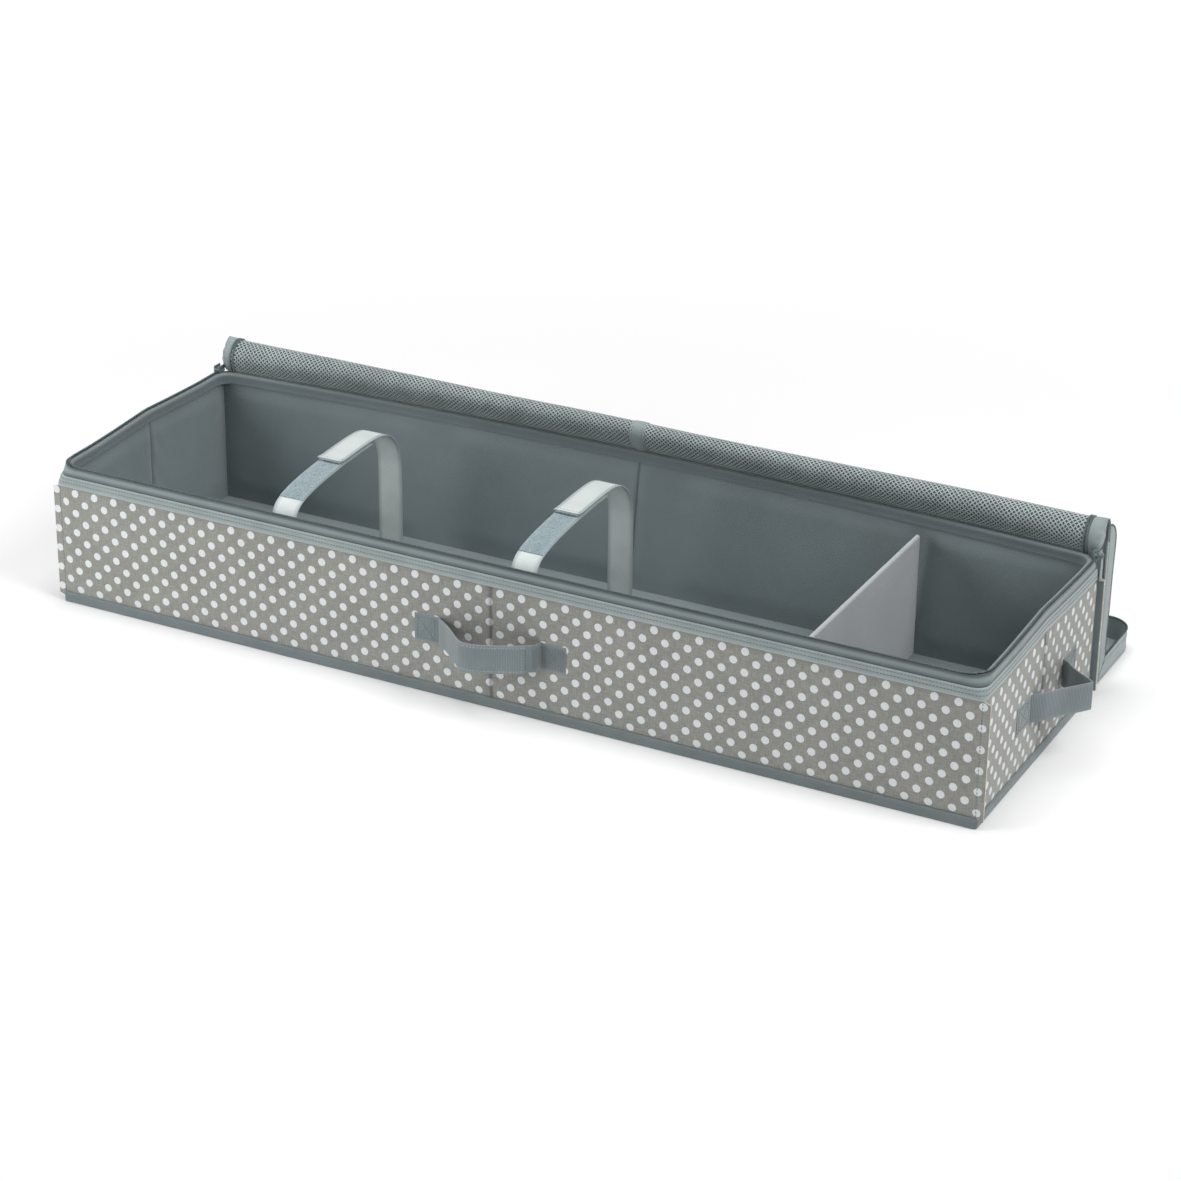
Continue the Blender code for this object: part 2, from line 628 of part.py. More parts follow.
def strap(name, x):
    """Makes one strap: a front half that hangs from the rim, and a rear half that stands on the floor."""
    across = Vector((STRAP_WIDTH, 0, 0))
    left = x - STRAP_WIDTH / 2
    anchor = [Vector((left, ANCHOR_Y, ANCHOR_TOP - ANCHOR_LENGTH)), Vector((left, ANCHOR_Y, ANCHOR_TOP))]
    ribbon(f"{name}_front_anchor", anchor, across, STRAP_TAPE, STRAP_GREY)
    foot_start = STRAP_FOOT_Y + FOOT_PIVOT_GAP
    foot = [Vector((left, foot_start, FOOT_Z)), Vector((left, foot_start + ANCHOR_LENGTH, FOOT_Z))]
    ribbon(f"{name}_rear_anchor", foot, across, STRAP_TAPE, STRAP_GREY)

    front_pivot = pivot_at(f"{name}_front_pivot", (x, ANCHOR_Y, FRONT_PIVOT_Z))
    front = front_strap_line(left)
    hang_on(ribbon(f"{name}_front_half", front, across, STRAP_TAPE, STRAP_GREY), front_pivot)
    pad_rise = STRAP_TAPE / 2 + CLEARANCE + STRAP_PAD / 2
    loop = pad_line(front, LOOP_PAD_START_Y, LOOP_PAD_END_Y, pad_rise)
    hang_on(ribbon(f"{name}_loop_pad", loop, across, STRAP_PAD, PAD_GREY), front_pivot)

    rear_pivot = pivot_at(f"{name}_rear_pivot", (x, STRAP_FOOT_Y, FOOT_Z))
    rear = rear_strap_line(left)
    hang_on(ribbon(f"{name}_rear_half", rear, across, STRAP_TAPE, STRAP_GREY), rear_pivot)
    hook = pad_line(rear, STRAP_TAIL_Y, STRAP_TAIL_Y + HOOK_PAD_LENGTH, -pad_rise)
    hang_on(ribbon(f"{name}_hook_pad", hook, across, STRAP_PAD, PAD_GREY), rear_pivot)


def zip_end(name, side):
    """Makes one zip slider at its parking place, with its bail, and the pull that hangs from it."""
    x = side * LID_END_X
    inner = SLIDER_CHANNEL / 2
    outer = inner + SLIDER_PLATE
    low = LEDGE_Z + TAPE / 2 + CLEARANCE - BRIDGE_Z
    high = -low
    half = SLIDER_BRIDGE / 2
    outline = ((outer, low), (outer, high), (inner, high), (inner, half), (-inner, half), (-inner, high),
               (-outer, high), (-outer, low), (-inner, low), (-inner, -half), (inner, -half), (inner, low))
    pivot = pivot_at(f"{name}_slider_origin", (x, SLIDER_Y, BRIDGE_Z))
    body = flat_outline(f"{name}_zip_slider", [outline], SLIDER_LENGTH, METAL_GREY, roughness=0.5, metallic=0.6)
    body.rotation_euler.x = math.pi / 2
    body.location = (x, SLIDER_Y, BRIDGE_Z)
    body = as_mesh(body)
    plate = x + side * (outer - SLIDER_PLATE / 2)
    reach = x + side * (outer + BAIL_REACH)
    tall = BAIL_HEIGHT / 2
    shoulder = plate + (reach - plate) * 0.75
    bail = [(plate, SLIDER_Y, BRIDGE_Z + tall), (shoulder, SLIDER_Y, BRIDGE_Z + tall),
            (reach, SLIDER_Y, BRIDGE_Z + tall / 2), (reach, SLIDER_Y, BRIDGE_Z - tall / 2),
            (shoulder, SLIDER_Y, BRIDGE_Z - tall), (plate, SLIDER_Y, BRIDGE_Z - tall)]
    wire = as_mesh(tube(f"{name}_bail", bail, BAIL_WIRE, METAL_GREY))
    hang_on(join(body, wire), pivot)

    bar_x = x + side * (outer + BAIL_REACH / 2)
    bar = PULL_BAR / 2
    top = (PULL_TOP_WIDTH / 2, PULL_WIDTH / 2)
    foot = bar - PULL_LENGTH
    blank = ((-top[0], bar), (top[0], bar), (top[1], foot + PULL_WIDTH), (top[1], foot + PULL_WIDTH / 4),
             (top[0] / 2, foot), (-top[0] / 2, foot), (-top[1], foot + PULL_WIDTH / 4), (-top[1], foot + PULL_WIDTH))
    slot_half = PULL_SLOT_WIDTH / 2
    slot = ((-slot_half, -bar), (slot_half, -bar), (slot_half, -bar - PULL_SLOT_LENGTH),
            (-slot_half, -bar - PULL_SLOT_LENGTH))
    pull = flat_outline(f"{name}_zip_pull", [blank, slot], PULL_THICKNESS, METAL_GREY, roughness=0.5, metallic=0.6)
    pull.rotation_euler = (math.pi / 2, 0, math.pi / 2)
    pull.location = (bar_x, SLIDER_Y, BRIDGE_Z)
    hang_on(pull, pivot_at(f"{name}_pull_pivot", (bar_x, SLIDER_Y, BRIDGE_Z)))


def net(name, columns, rows, place, corner_inset=0):
    """Makes a diamond net with a plain hem: diamonds are cut around each inner line of a mapped grid."""
    bm = bmesh.new()
    bmesh.ops.create_grid(bm, x_segments=columns, y_segments=rows, size=0.5)
    inner = [edge for edge in bm.edges if not edge.is_boundary]
    bmesh.ops.poke(bm, faces=bm.faces[:])
    bmesh.ops.dissolve_edges(bm, edges=inner, use_verts=False)
    for vert in bm.verts:
        u = vert.co.x + 0.5
        v = vert.co.y + 0.5
        vert.co = place(u, v)
        if corner_inset and v > 1 - CLEARANCE and abs(vert.co.x) > NET_HALF_X - CLEARANCE:
            vert.co.x -= math.copysign(corner_inset, vert.co.x)
            vert.co.y -= corner_inset
    bm.normal_update()
    diamonds = [face for face in bm.faces if len(face.verts) == 4]
    bmesh.ops.inset_individual(bm, faces=diamonds, thickness=NET_BAR / 2, use_even_offset=True)
    bmesh.ops.delete(bm, geom=diamonds, context="FACES")
    bmesh.ops.triangulate(bm, faces=bm.faces[:])
    return thicken(mesh_object(name, bm, NET_GREY), NET)


def lid_nets(crest, back, front):
    """Makes the lid's net in four widths: the hem on the rear rim, the crest, the back and the front."""
    hem_low = LEDGE_Z + TAPE / 2 + CLEARANCE
    hem_high = LID_Z - LID_HEM_GAP
    gap = LID_JOINT_GAP

    def hem(u, v):
        x = NET_HALF_X * (2 * u - 1)
        foot = HALF_Y + lean(x, LEDGE_Z)
        return Vector((x, foot + (LID_HINGE_Y - foot) * v, hem_low + (hem_high - hem_low) * v))

    def crest_place(u, v):
        y = LID_HINGE_Y + gap + (LID_CREST - 2 * gap) * v
        return Vector((NET_HALF_X * (2 * u - 1), y, LID_Z))

    def back_place(u, v):
        z = LID_Z - gap + (LID_FLOOR_GAP - LID_Z + 2 * gap) * v
        return Vector((NET_HALF_X * (2 * u - 1), LID_BACK_Y, z))

    def front_place(u, v):
        y = LID_BACK_Y + gap + (LID_FRONT_LENGTH - gap - NET / 2 - CLEARANCE) * v
        return Vector((NET_HALF_X * (2 * u - 1), y, LID_FLOOR_GAP))

    net("lid_hem_net", NET_COLUMNS, 1, hem)
    hang_on(net("lid_crest_net", NET_COLUMNS, 1, crest_place), crest)
    hang_on(net("lid_back_net", NET_COLUMNS, BACK_ROWS, back_place), back)
    corner_inset = LID_CORNER * (1 - math.sqrt(0.5))
    hang_on(net("lid_front_net", NET_COLUMNS, FRONT_ROWS, front_place, corner_inset), front)


def ribbon_frame(name, length, corner):
    """Makes a border of ribbon with a ribbon down its middle, flat in its own XY plane."""
    low = RIBBON_MARGIN
    high = length
    outer = rounded_rectangle((-NET_HALF_X, low), (NET_HALF_X, high), (0, 0, corner, corner), CORNER_CELLS)
    windows = []
    for side in (-1, 1):
        near = side * CENTRE_RIBBON / 2
        far = side * (NET_HALF_X - RIBBON_WIDTH)
        window_low = (min(near, far), low + RIBBON_WIDTH)
        window_high = (max(near, far), high - RIBBON_WIDTH)
        windows.append(rounded_rectangle(window_low, window_high, (WINDOW_CORNER,) * 4, CORNER_CELLS))
    return flat_outline(name, [outer, *windows], RIBBON, TRIM_GREY)


def lid_ribbons(back, front):
    """Makes the ribbon borders on the inner face of the lid's back and front."""
    lift = NET / 2 + CLEARANCE + RIBBON / 2
    back_frame = ribbon_frame("lid_back_ribbon", LID_Z - LID_FLOOR_GAP - RIBBON_MARGIN, 0)
    back_frame.rotation_euler.x = -math.pi / 2
    back_frame.location = (0, LID_BACK_Y + lift, LID_Z)
    hang_on(back_frame, back)
    front_frame = ribbon_frame("lid_front_ribbon", LID_FRONT_LENGTH - NET / 2 - CLEARANCE, LID_CORNER)
    front_frame.location = (0, LID_BACK_Y, LID_FLOOR_GAP + lift)
    hang_on(front_frame, front)


def skirt_profile():
    """Makes the guide that the lid's skirts are drawn from: a thin strip with the zip coil as its bead."""
    half = TAPE / 2
    bead = arc((0, LID_SKIRT), COIL_RADIUS, -0.75, 2.75, 2 * CORNER_CELLS)
    guide = flat_outline("skirt_profile", [[*reversed(bead), (half, -half), (-half, -half)]], 0, TRIM_GREY)
    guide.data.fill_mode = "NONE"
    PARTS.objects.unlink(guide)
    GUIDES.objects.link(guide)
    guide.hide_render = True
    guide.display_type = "WIRE"
    return guide


def skirt(name, plan, profile):
    """Draws the skirt's profile along a plan line, standing up from the XY plane."""
    curve = bpy.data.curves.new(name, "CURVE")
    curve.dimensions = "2D"
    curve.bevel_mode = "OBJECT"
    curve.bevel_object = profile
    curve.use_fill_caps = True
    spline = curve.splines.new("POLY")
    spline.points.add(len(plan) - 1)
    for point, (x, y) in zip(spline.points, plan):
        point.co = (x, y, 0.0, 1.0)
    return new_object(name, curve, TRIM_GREY)


def mitre(obj, top=None):
    """Slants the skirt's cut ends by 45 degrees, so that neighbours meet on the diagonal of the fold."""
    for vert in obj.data.vertices:
        if vert.co.y < CLEARANCE / 10:
            vert.co.y += max(vert.co.z, 0) + CLEARANCE
        elif top and vert.co.y > top - CLEARANCE / 10:
            vert.co.y -= max(vert.co.z, 0)
    return obj


def lid_skirts(back, front):
    """Makes the skirt around the lid: two straight sides on the back, and a rounded U on the front."""
    profile = skirt_profile()
    corner = LID_CORNER + NET / 2 + CLEARANCE
    x = LID_END_X - corner
    y = LID_FRONT_LENGTH - corner
    right = arc((x, y), corner, 0, 1, CORNER_CELLS)
    left = arc((-x, y), corner, 1, 2, CORNER_CELLS)
    around = skirt("lid_front_skirt", [(LID_END_X, 0), *right, *left, (-LID_END_X, 0)], profile)
    around = mitre(as_mesh(around))
    around.location = (0, LID_BACK_Y, LID_FLOOR_GAP)
    hang_on(around, front)
    length = LID_Z - LID_FLOOR_GAP - LID_JOINT_GAP
    for name, side in (("left", -1), ("right", 1)):
        x = -side * LID_END_X
        straight = skirt(f"lid_back_skirt_{name}", [(x, length), (x, 0)], profile)
        straight = mitre(as_mesh(straight), length)
        straight.rotation_euler = (math.pi / 2, 0, math.pi)
        straight.location = (0, LID_BACK_Y, LID_FLOOR_GAP)
        hang_on(straight, back)


def lid():
    """Makes the lid on its three fold lines, open: over the rear rim, down behind it and out on the ground."""
    crest = pivot_at("lid_crest_pivot", (0, LID_HINGE_Y, LID_Z))
    back = pivot_at("lid_back_pivot", (0, LID_BACK_Y, LID_Z))
    front = pivot_at("lid_front_pivot", (0, LID_BACK_Y, LID_FLOOR_GAP))
    lid_nets(crest, back, front)
    lid_ribbons(back, front)
    lid_skirts(back, front)


for leftover in list(bpy.data.objects):
    bpy.data.objects.remove(leftover)
PARTS = bpy.data.collections.new("gift_wrap_organizer")
GUIDES = bpy.data.collections.new("guides")
for collection in (PARTS, GUIDES):
    bpy.context.scene.collection.children.link(collection)

covers()
boards()
lining()
rim_tape()
base_binding()
corner_seams()
rim_coil()
divider()
handles()
strap("left_strap", LEFT_STRAP_X)
strap("right_strap", RIGHT_STRAP_X)
zip_end("left", -1)
zip_end("right", 1)
lid()
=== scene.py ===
"""Gift wrap organizer, shown open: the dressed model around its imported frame.

Metres, +Z up, with the front of the case towards -Y. Every piece is built where the frame has it.
"""

import logging
import math
from collections.abc import Callable, Iterable, Sequence
from dataclasses import dataclass, field
from enum import Enum

import bmesh
import bpy
from mathutils import Matrix, Vector, noise


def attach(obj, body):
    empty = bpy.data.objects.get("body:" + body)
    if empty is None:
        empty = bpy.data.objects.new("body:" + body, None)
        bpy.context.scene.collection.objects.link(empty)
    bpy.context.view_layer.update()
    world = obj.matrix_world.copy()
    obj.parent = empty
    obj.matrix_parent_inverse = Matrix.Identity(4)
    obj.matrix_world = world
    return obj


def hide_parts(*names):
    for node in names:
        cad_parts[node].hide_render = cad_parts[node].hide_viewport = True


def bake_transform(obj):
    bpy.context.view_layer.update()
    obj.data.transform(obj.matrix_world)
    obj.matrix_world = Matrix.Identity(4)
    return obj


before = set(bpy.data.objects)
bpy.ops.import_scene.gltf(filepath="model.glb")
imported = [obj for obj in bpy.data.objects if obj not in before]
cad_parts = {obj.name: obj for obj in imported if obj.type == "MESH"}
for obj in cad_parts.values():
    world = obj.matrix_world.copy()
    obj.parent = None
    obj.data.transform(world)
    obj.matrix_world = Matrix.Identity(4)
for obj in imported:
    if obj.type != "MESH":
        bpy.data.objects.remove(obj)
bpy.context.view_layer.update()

LOG = logging.getLogger("organizer")
MERGE = 2e-6
UP, RIGHT, AHEAD = Vector((0, 0, 1)), Vector((1, 0, 0)), Vector((0, 1, 0))
Profile = Sequence[tuple[float, float]]
Line = list[Vector]


class Stuff(Enum):
    """The material slots that the pieces take their finish from."""

    DOTTED = "dotted_cloth"
    BASE = "base_cloth"
    BOARD = "board"
    LINING = "lining"
    TAPE = "trim_tape"
    WEBBING = "webbing"
    SEAM = "seam"
    COIL = "zip_coil"
    DIVIDER = "divider_cloth"
    STRAP = "strap"
    PAD = "strap_pad"
    NET = "net"
    METAL = "metal"


class Trim(Enum):
    """The further finishes, each built as a material of its own."""

    ZIP_TAPE = "zip_tape"
    BINDING = "binding"
    HOOKS = "hooks"
    BACKING = "net_backing"
    FACING = "seam_facing"
    THREAD = "thread"
    PALE_THREAD = "pale_thread"


class Side(Enum):
    """The two ends of the case."""

    LEFT = -1
    RIGHT = 1

    @property
    def word(self) -> str:
        """Gives the side's name as it stands in the names of pieces."""
        return self.name.lower()


class Face(Enum):
    """The wall that a handle or a cover belongs to."""

    FRONT = "front"
    REAR = "rear"
    LEFT = "left"
    RIGHT = "right"

    @property
    def long(self) -> bool:
        """Tells whether this is one of the two long walls."""
        return self in (Face.FRONT, Face.REAR)

    @property
    def sign(self) -> int:
        """Gives which way the wall faces along its axis."""
        return -1 if self in (Face.FRONT, Face.LEFT) else 1


# ---------------------------------------------------------------- materials


def srgb(red: int, green: int, blue: int) -> tuple[float, float, float, float]:
    """Turns a colour written in 0 to 255 into the linear one that a shader takes.

    Args:
        red: The red part.
        green: The green part.
        blue: The blue part.

    Returns:
        The linear colour with an alpha of 1.
    """
    parts = []
    for part in (red, green, blue):
        share = part / 255
        parts.append(share / 12.92 if share <= 0.04045 else ((share + 0.055) / 1.055) ** 2.4)
    return (*parts, 1.0)


class Wiring:
    """Adds nodes to a tree and links them."""

    def __init__(self, tree: bpy.types.NodeTree) -> None:
        """Takes the tree to work in."""
        self.tree = tree

    def node(self, kind: str, feeds: dict | None = None, **settings: object) -> bpy.types.Node:
        """Adds a node.

        Args:
            kind: The node's type name.
            feeds: Values or sockets for its inputs, by name or place.
            settings: Properties to set on the node.

        Returns:
            The new node.
        """
        made = self.tree.nodes.new(kind)
        for key, value in settings.items():
            setattr(made, key, value)
        for key, value in (feeds or {}).items():
            self.feed(made.inputs[key], value)
        return made

    def feed(self, socket: bpy.types.NodeSocket, value: object) -> None:
        """Links a socket to the input, or sets the input's own value."""
        if isinstance(value, bpy.types.NodeSocket):
            self.tree.links.new(value, socket)
        else:
            socket.default_value = value

    def math(self, operation: str, *values: object, clamp: bool = False) -> bpy.types.NodeSocket:
        """Adds a Math node over the values and gives its result."""
        made = self.node("ShaderNodeMath", dict(enumerate(values)), operation=operation, use_clamp=clamp)
        return made.outputs[0]


class Recipe(Wiring):
    """Builds the nodes of one finish around its Principled shader."""

    def __init__(self, name: str) -> None:
        """Starts a material of this name."""
        self.material = bpy.data.materials.new(name)
        self.material.use_nodes = True
        super().__init__(self.material.node_tree)
        self.shader = self.tree.nodes["Principled BSDF"]

    def cloth(self) -> bpy.types.NodeSocket:
        """Gives the place on the cloth, in metres, from the piece's own map."""
        return self.node("ShaderNodeUVMap", uv_map="cloth").outputs[0]

    def place(self) -> bpy.types.NodeSocket:
        """Gives the place in the object, in metres."""
        return self.node("ShaderNodeTexCoord").outputs["Object"]

    def wear(self) -> bpy.types.NodeSocket:
        """Gives how worn the piece is here, and below 0 how much painted shade it has, from its own attribute."""
        return self.node("ShaderNodeAttribute", attribute_name="wear").outputs["Fac"]

    def stretched(self, vector: object, scale: Sequence[float], shift: Sequence[float] = (0, 0, 0)) -> object:
        """Scales a coordinate along its axes after shifting it."""
        feeds = {"Vector": vector, "Scale": tuple(scale), "Location": tuple(shift)}
        return self.node("ShaderNodeMapping", feeds, vector_type="POINT").outputs[0]

    def noise(self, vector: object, scale: float, detail: float = 2.0) -> bpy.types.NodeSocket:
        """Gives smooth noise from 0 to 1 over a coordinate."""
        return self.node("ShaderNodeTexNoise", {"Vector": vector, "Scale": scale, "Detail": detail}).outputs[0]

    def swayed(self, vector: object, reach: float, scale: float) -> bpy.types.NodeSocket:
        """Shifts a coordinate by a little noise, so that a pattern on it runs unevenly."""
        shift = self.node("ShaderNodeTexNoise", {"Vector": vector, "Scale": scale}).outputs["Color"]
        feeds = {0: shift, 1: (reach, reach, 0.0), 2: vector}
        return self.node("ShaderNodeVectorMath", feeds, operation="MULTIPLY_ADD").outputs[0]

    def ramp(self, value: object, low: float, high: float, start: float = 0.0, end: float = 1.0) -> object:
        """Maps a range to another with a smooth step, and stays at its ends outside it."""
        feeds = {"Value": value, "From Min": low, "From Max": high, "To Min": start, "To Max": end}
        return self.node("ShaderNodeMapRange", feeds, interpolation_type="SMOOTHSTEP").outputs[0]

    def mix(self, share: object, first: object, second: object) -> bpy.types.NodeSocket:
        """Mixes two colours by a share."""
        made = self.node("ShaderNodeMix", data_type="RGBA")
        for place, value in ((0, share), (6, first), (7, second)):
            self.feed(made.inputs[place], value)
        return made.outputs[2]

    def shade(self, colour: object, factor: object) -> bpy.types.NodeSocket:
        """Makes a colour lighter or darker by a factor around 1."""
        return self.node("ShaderNodeVectorMath", {0: colour, 3: factor}, operation="SCALE").outputs[0]

    def mottle(self, colour: object, where: object, scale: float, low: float, high: float,
               detail: float = 3.0, span: tuple[float, float] = (0.3, 0.7)) -> bpy.types.NodeSocket:
        """Makes a colour uneven in soft patches.

        Args:
            colour: The colour.
            where: The coordinate that the patches lie on.
            scale: How many patches there are to a metre.
            low: The factor of the darkest patches.
            high: The factor of the lightest.
            detail: How ragged the patches are.
            span: The part of the noise that runs from dark to light.

        Returns:
            The uneven colour.
        """
        return self.shade(colour, self.ramp(self.noise(where, scale, detail), *span, low, high))

    def rub(self, colour: object, worn: object, share: float) -> bpy.types.NodeSocket:
        """Mixes a colour towards its worn one, up to a share, where the piece is worn."""
        return self.mix(self.math("MULTIPLY", self.wear(), share, clamp=True), colour, worn)

    def paint_shade(self, colour: object, darkest: float) -> bpy.types.NodeSocket:
        """Paints shade into a colour, darkening it down to a factor where the piece's value is below 0."""
        return self.shade(colour, self.ramp(self.wear(), -1.0, 0.0, darkest, 1.0))

    def weave(self, vector: object, pitch: float) -> bpy.types.NodeSocket:
        """Gives the height of a plain weave with this pitch, from 0 to 1."""
        parts = self.node("ShaderNodeSeparateXYZ", {0: vector})
        turns = math.tau / pitch / 2
        waves = [self.math("SINE", self.math("MULTIPLY", parts.outputs[axis], turns)) for axis in (0, 1)]
        both = self.math("MULTIPLY", *waves)
        return self.math("MULTIPLY_ADD", both, 0.5, 0.5)

    def ribs(self, vector: object, pitch: float, axis: int) -> bpy.types.NodeSocket:
        """Gives the height of ribs across one axis of the cloth, from 0 to 1."""
        parts = self.node("ShaderNodeSeparateXYZ", {0: vector})
        turns = self.math("MULTIPLY", parts.outputs[axis], math.tau / pitch)
        return self.math("MULTIPLY_ADD", self.math("SINE", turns), 0.5, 0.5)

    def finish(self, colour: object, roughness: object, height: object, depth: float, **fixed: float) -> object:
        """Connects the shader.

        Args:
            colour: The colour or its socket.
            roughness: The roughness or its socket.
            height: The socket of the relief's height, from 0 to 1.
            depth: The relief's depth in metres.
            fixed: Values of the shader's own inputs, with underscores for spaces.

        Returns:
            The finished material.
        """
        self.feed(self.shader.inputs["Base Color"], colour)
        self.feed(self.shader.inputs["Roughness"], roughness)
        bump = self.node("ShaderNodeBump", {"Height": height, "Distance": depth, "Strength": 1.0})
        self.feed(self.shader.inputs["Normal"], bump.outputs[0])
        for key, value in fixed.items():
            self.shader.inputs[key.replace("_", " ")].default_value = value
        return self.material


@dataclass(frozen=True)
class PrintedCloth:
    """Woven cloth printed with evenly set white dots."""

    ground: tuple = srgb(122, 122, 117)
    streak: tuple = srgb(143, 143, 137)
    worn: tuple = srgb(160, 160, 154)
    dot: tuple = srgb(214, 218, 220)
    lattice: tuple[float, float] = (0.02335, 0.0215)
    dot_radius: float = 0.0040
    first_dot: tuple[float, float] = (-0.1885, 0.1135)
    thread_pitch: float = 0.0011

    def dots(self, recipe: Recipe, cloth: object) -> bpy.types.NodeSocket:
        """Gives 1 inside the dots and 0 between them.

        Args:
            recipe: The recipe to add the nodes to.
            cloth: The place on the cloth.

        Returns:
            The socket with the dots' share.
        """
        wobble = recipe.math("MULTIPLY", recipe.noise(cloth, 900.0), 0.0009)
        found = []
        for step in (0.0, 0.5):
            parts = recipe.node("ShaderNodeSeparateXYZ", {0: cloth})
            offsets = []
            for axis in (0, 1):
                shift = self.first_dot[axis] - (0.5 - step) * self.lattice[axis]
                turn = recipe.math("DIVIDE", recipe.math("SUBTRACT", parts.outputs[axis], shift), self.lattice[axis])
                share = recipe.math("SUBTRACT", recipe.math("FRACT", turn), 0.5)
                offsets.append(recipe.math("MULTIPLY", share, self.lattice[axis]))
            squares = [recipe.math("MULTIPLY", part, part) for part in offsets]
            metres = recipe.math("ADD", recipe.math("SQRT", recipe.math("ADD", *squares)), wobble)
            found.append(recipe.ramp(metres, self.dot_radius + 0.0003, self.dot_radius + 0.0006, 1.0, 0.0))
        return recipe.math("MAXIMUM", *found)

    def build(self, name: str) -> bpy.types.Material:
        """Builds the material under this name."""
        recipe = Recipe(name)
        cloth = recipe.cloth()
        upright = recipe.noise(recipe.stretched(cloth, (900.0, 110.0, 1.0)), 1.0, 3.0)
        level = recipe.noise(recipe.stretched(cloth, (110.0, 900.0, 1.0), (7.0, 3.0, 0.0)), 1.0, 3.0)
        streaks = recipe.math("MULTIPLY_ADD", level, 0.5, recipe.math("MULTIPLY", upright, 0.5))
        ground = recipe.mix(recipe.ramp(streaks, 0.38, 0.64), self.ground, self.streak)
        ground = recipe.mottle(ground, cloth, 16.0, 0.92, 1.06, span=(0.25, 0.75))
        ground = recipe.rub(ground, self.worn, 0.5)
        dots = self.dots(recipe, cloth)
        speck = recipe.ramp(recipe.noise(cloth, 1900.0), 0.35, 0.6, 0.72, 1.0)
        colour = recipe.mix(recipe.math("MULTIPLY", dots, speck), ground, self.dot)
        # Painted shade in creases, where the piece's value is below 0.
        colour = recipe.paint_shade(colour, 0.5)
        weave = recipe.weave(cloth, self.thread_pitch)
        height = recipe.math("MULTIPLY_ADD", streaks, 0.6, weave)
        rough = recipe.ramp(dots, 0.0, 1.0, 0.86, 0.62)
        return recipe.finish(colour, rough, height, 0.00012, Sheen_Weight=0.25, Sheen_Roughness=0.6)


@dataclass(frozen=True)
class PlainCloth:
    """Plain woven cloth with a soft sheen and an uneven tone."""

    ground: tuple
    light: tuple
    thread_pitch: float = 0.0018
    relief: float = 0.00018
    roughness: float = 0.82
    sheen: float = 0.3

    def build(self, name: str) -> bpy.types.Material:
        """Builds the material under this name."""
        recipe = Recipe(name)
        cloth = recipe.cloth()
        weave = recipe.weave(cloth, self.thread_pitch)
        fibre = recipe.noise(recipe.stretched(cloth, (1400.0, 500.0, 1.0)), 1.0, 2.0)
        lift = recipe.math("MULTIPLY_ADD", weave, recipe.ramp(fibre, 0.2, 0.8, 0.1, 0.5), 0.2)
        colour = recipe.mix(lift, self.ground, self.light)
        colour = recipe.mottle(colour, cloth, 9.0, 0.90, 1.08, 4.0, (0.25, 0.75))
        # Painted shade in creases, where the piece's value is below 0.
        colour = recipe.paint_shade(recipe.rub(colour, self.light, 0.45), 0.55)
        rough = recipe.ramp(fibre, 0.2, 0.8, self.roughness - 0.06, self.roughness + 0.06)
        return recipe.finish(colour, rough, weave, self.relief, Sheen_Weight=self.sheen, Sheen_Roughness=0.5)


@dataclass(frozen=True)
class RibbedTape:
    """Woven tape with fine ribs across its length and paler, worn edges."""

    ground: tuple
    light: tuple
    rib_pitch: float = 0.0016
    rib_axis: int = 0
    relief: float = 0.00014
    roughness: float = 0.78
    edge: tuple | None = None
    edge_share: float = 0.6
    rib_share: float = 0.3

    def build(self, name: str) -> bpy.types.Material:
        """Builds the material under this name."""
        recipe = Recipe(name)
        cloth = recipe.cloth()
        threads = recipe.swayed(cloth, 0.0009, 160.0)
        ribs = recipe.ribs(threads, self.rib_pitch, self.rib_axis)
        cross = recipe.ribs(threads, self.rib_pitch * 0.55, 1 - self.rib_axis)
        fibre = recipe.noise(cloth, 1500.0, 2.0)
        lift = recipe.math("MULTIPLY_ADD", ribs, self.rib_share, recipe.math("MULTIPLY", fibre, 0.6))
        colour = recipe.mix(lift, self.ground, self.light)
        colour = recipe.mottle(colour, cloth, 28.0, 0.91, 1.07, span=(0.25, 0.75))
        # Painted shade in grooves and under the handle loops, where the piece's value is below 0.
        colour = recipe.paint_shade(recipe.rub(colour, self.edge or self.light, self.edge_share), 0.5)
        height = recipe.math("MULTIPLY_ADD", cross, 0.25, ribs)
        rough = recipe.ramp(fibre, 0.2, 0.8, self.roughness - 0.08, self.roughness + 0.08)
        return recipe.finish(colour, rough, height, self.relief, Sheen_Weight=0.35, Sheen_Roughness=0.45)


@dataclass(frozen=True)
class PileTape:
    """Hook or loop tape: a short, dull pile in fine tufts."""

    ground: tuple
    light: tuple
    tuft: float = 1500.0

    def build(self, name: str) -> bpy.types.Material:
        """Builds the material under this name."""
        recipe = Recipe(name)
        cloth = recipe.cloth()
        tufts = recipe.node("ShaderNodeTexVoronoi", {"Vector": cloth, "Scale": self.tuft}).outputs["Distance"]
        fuzz = recipe.noise(cloth, 3200.0, 3.0)
        lift = recipe.math("MULTIPLY", recipe.ramp(tufts, 0.7, 0.1), fuzz)
        colour = recipe.mix(recipe.math("MULTIPLY", lift, 1.6, clamp=True), self.ground, self.light)
        colour = recipe.rub(recipe.mottle(colour, cloth, 90.0, 0.9, 1.08), self.light, 0.35)
        rough = recipe.ramp(fuzz, 0.2, 0.8, 0.85, 1.0)
        return recipe.finish(colour, rough, lift, 0.0006, Sheen_Weight=0.6, Sheen_Roughness=0.4)


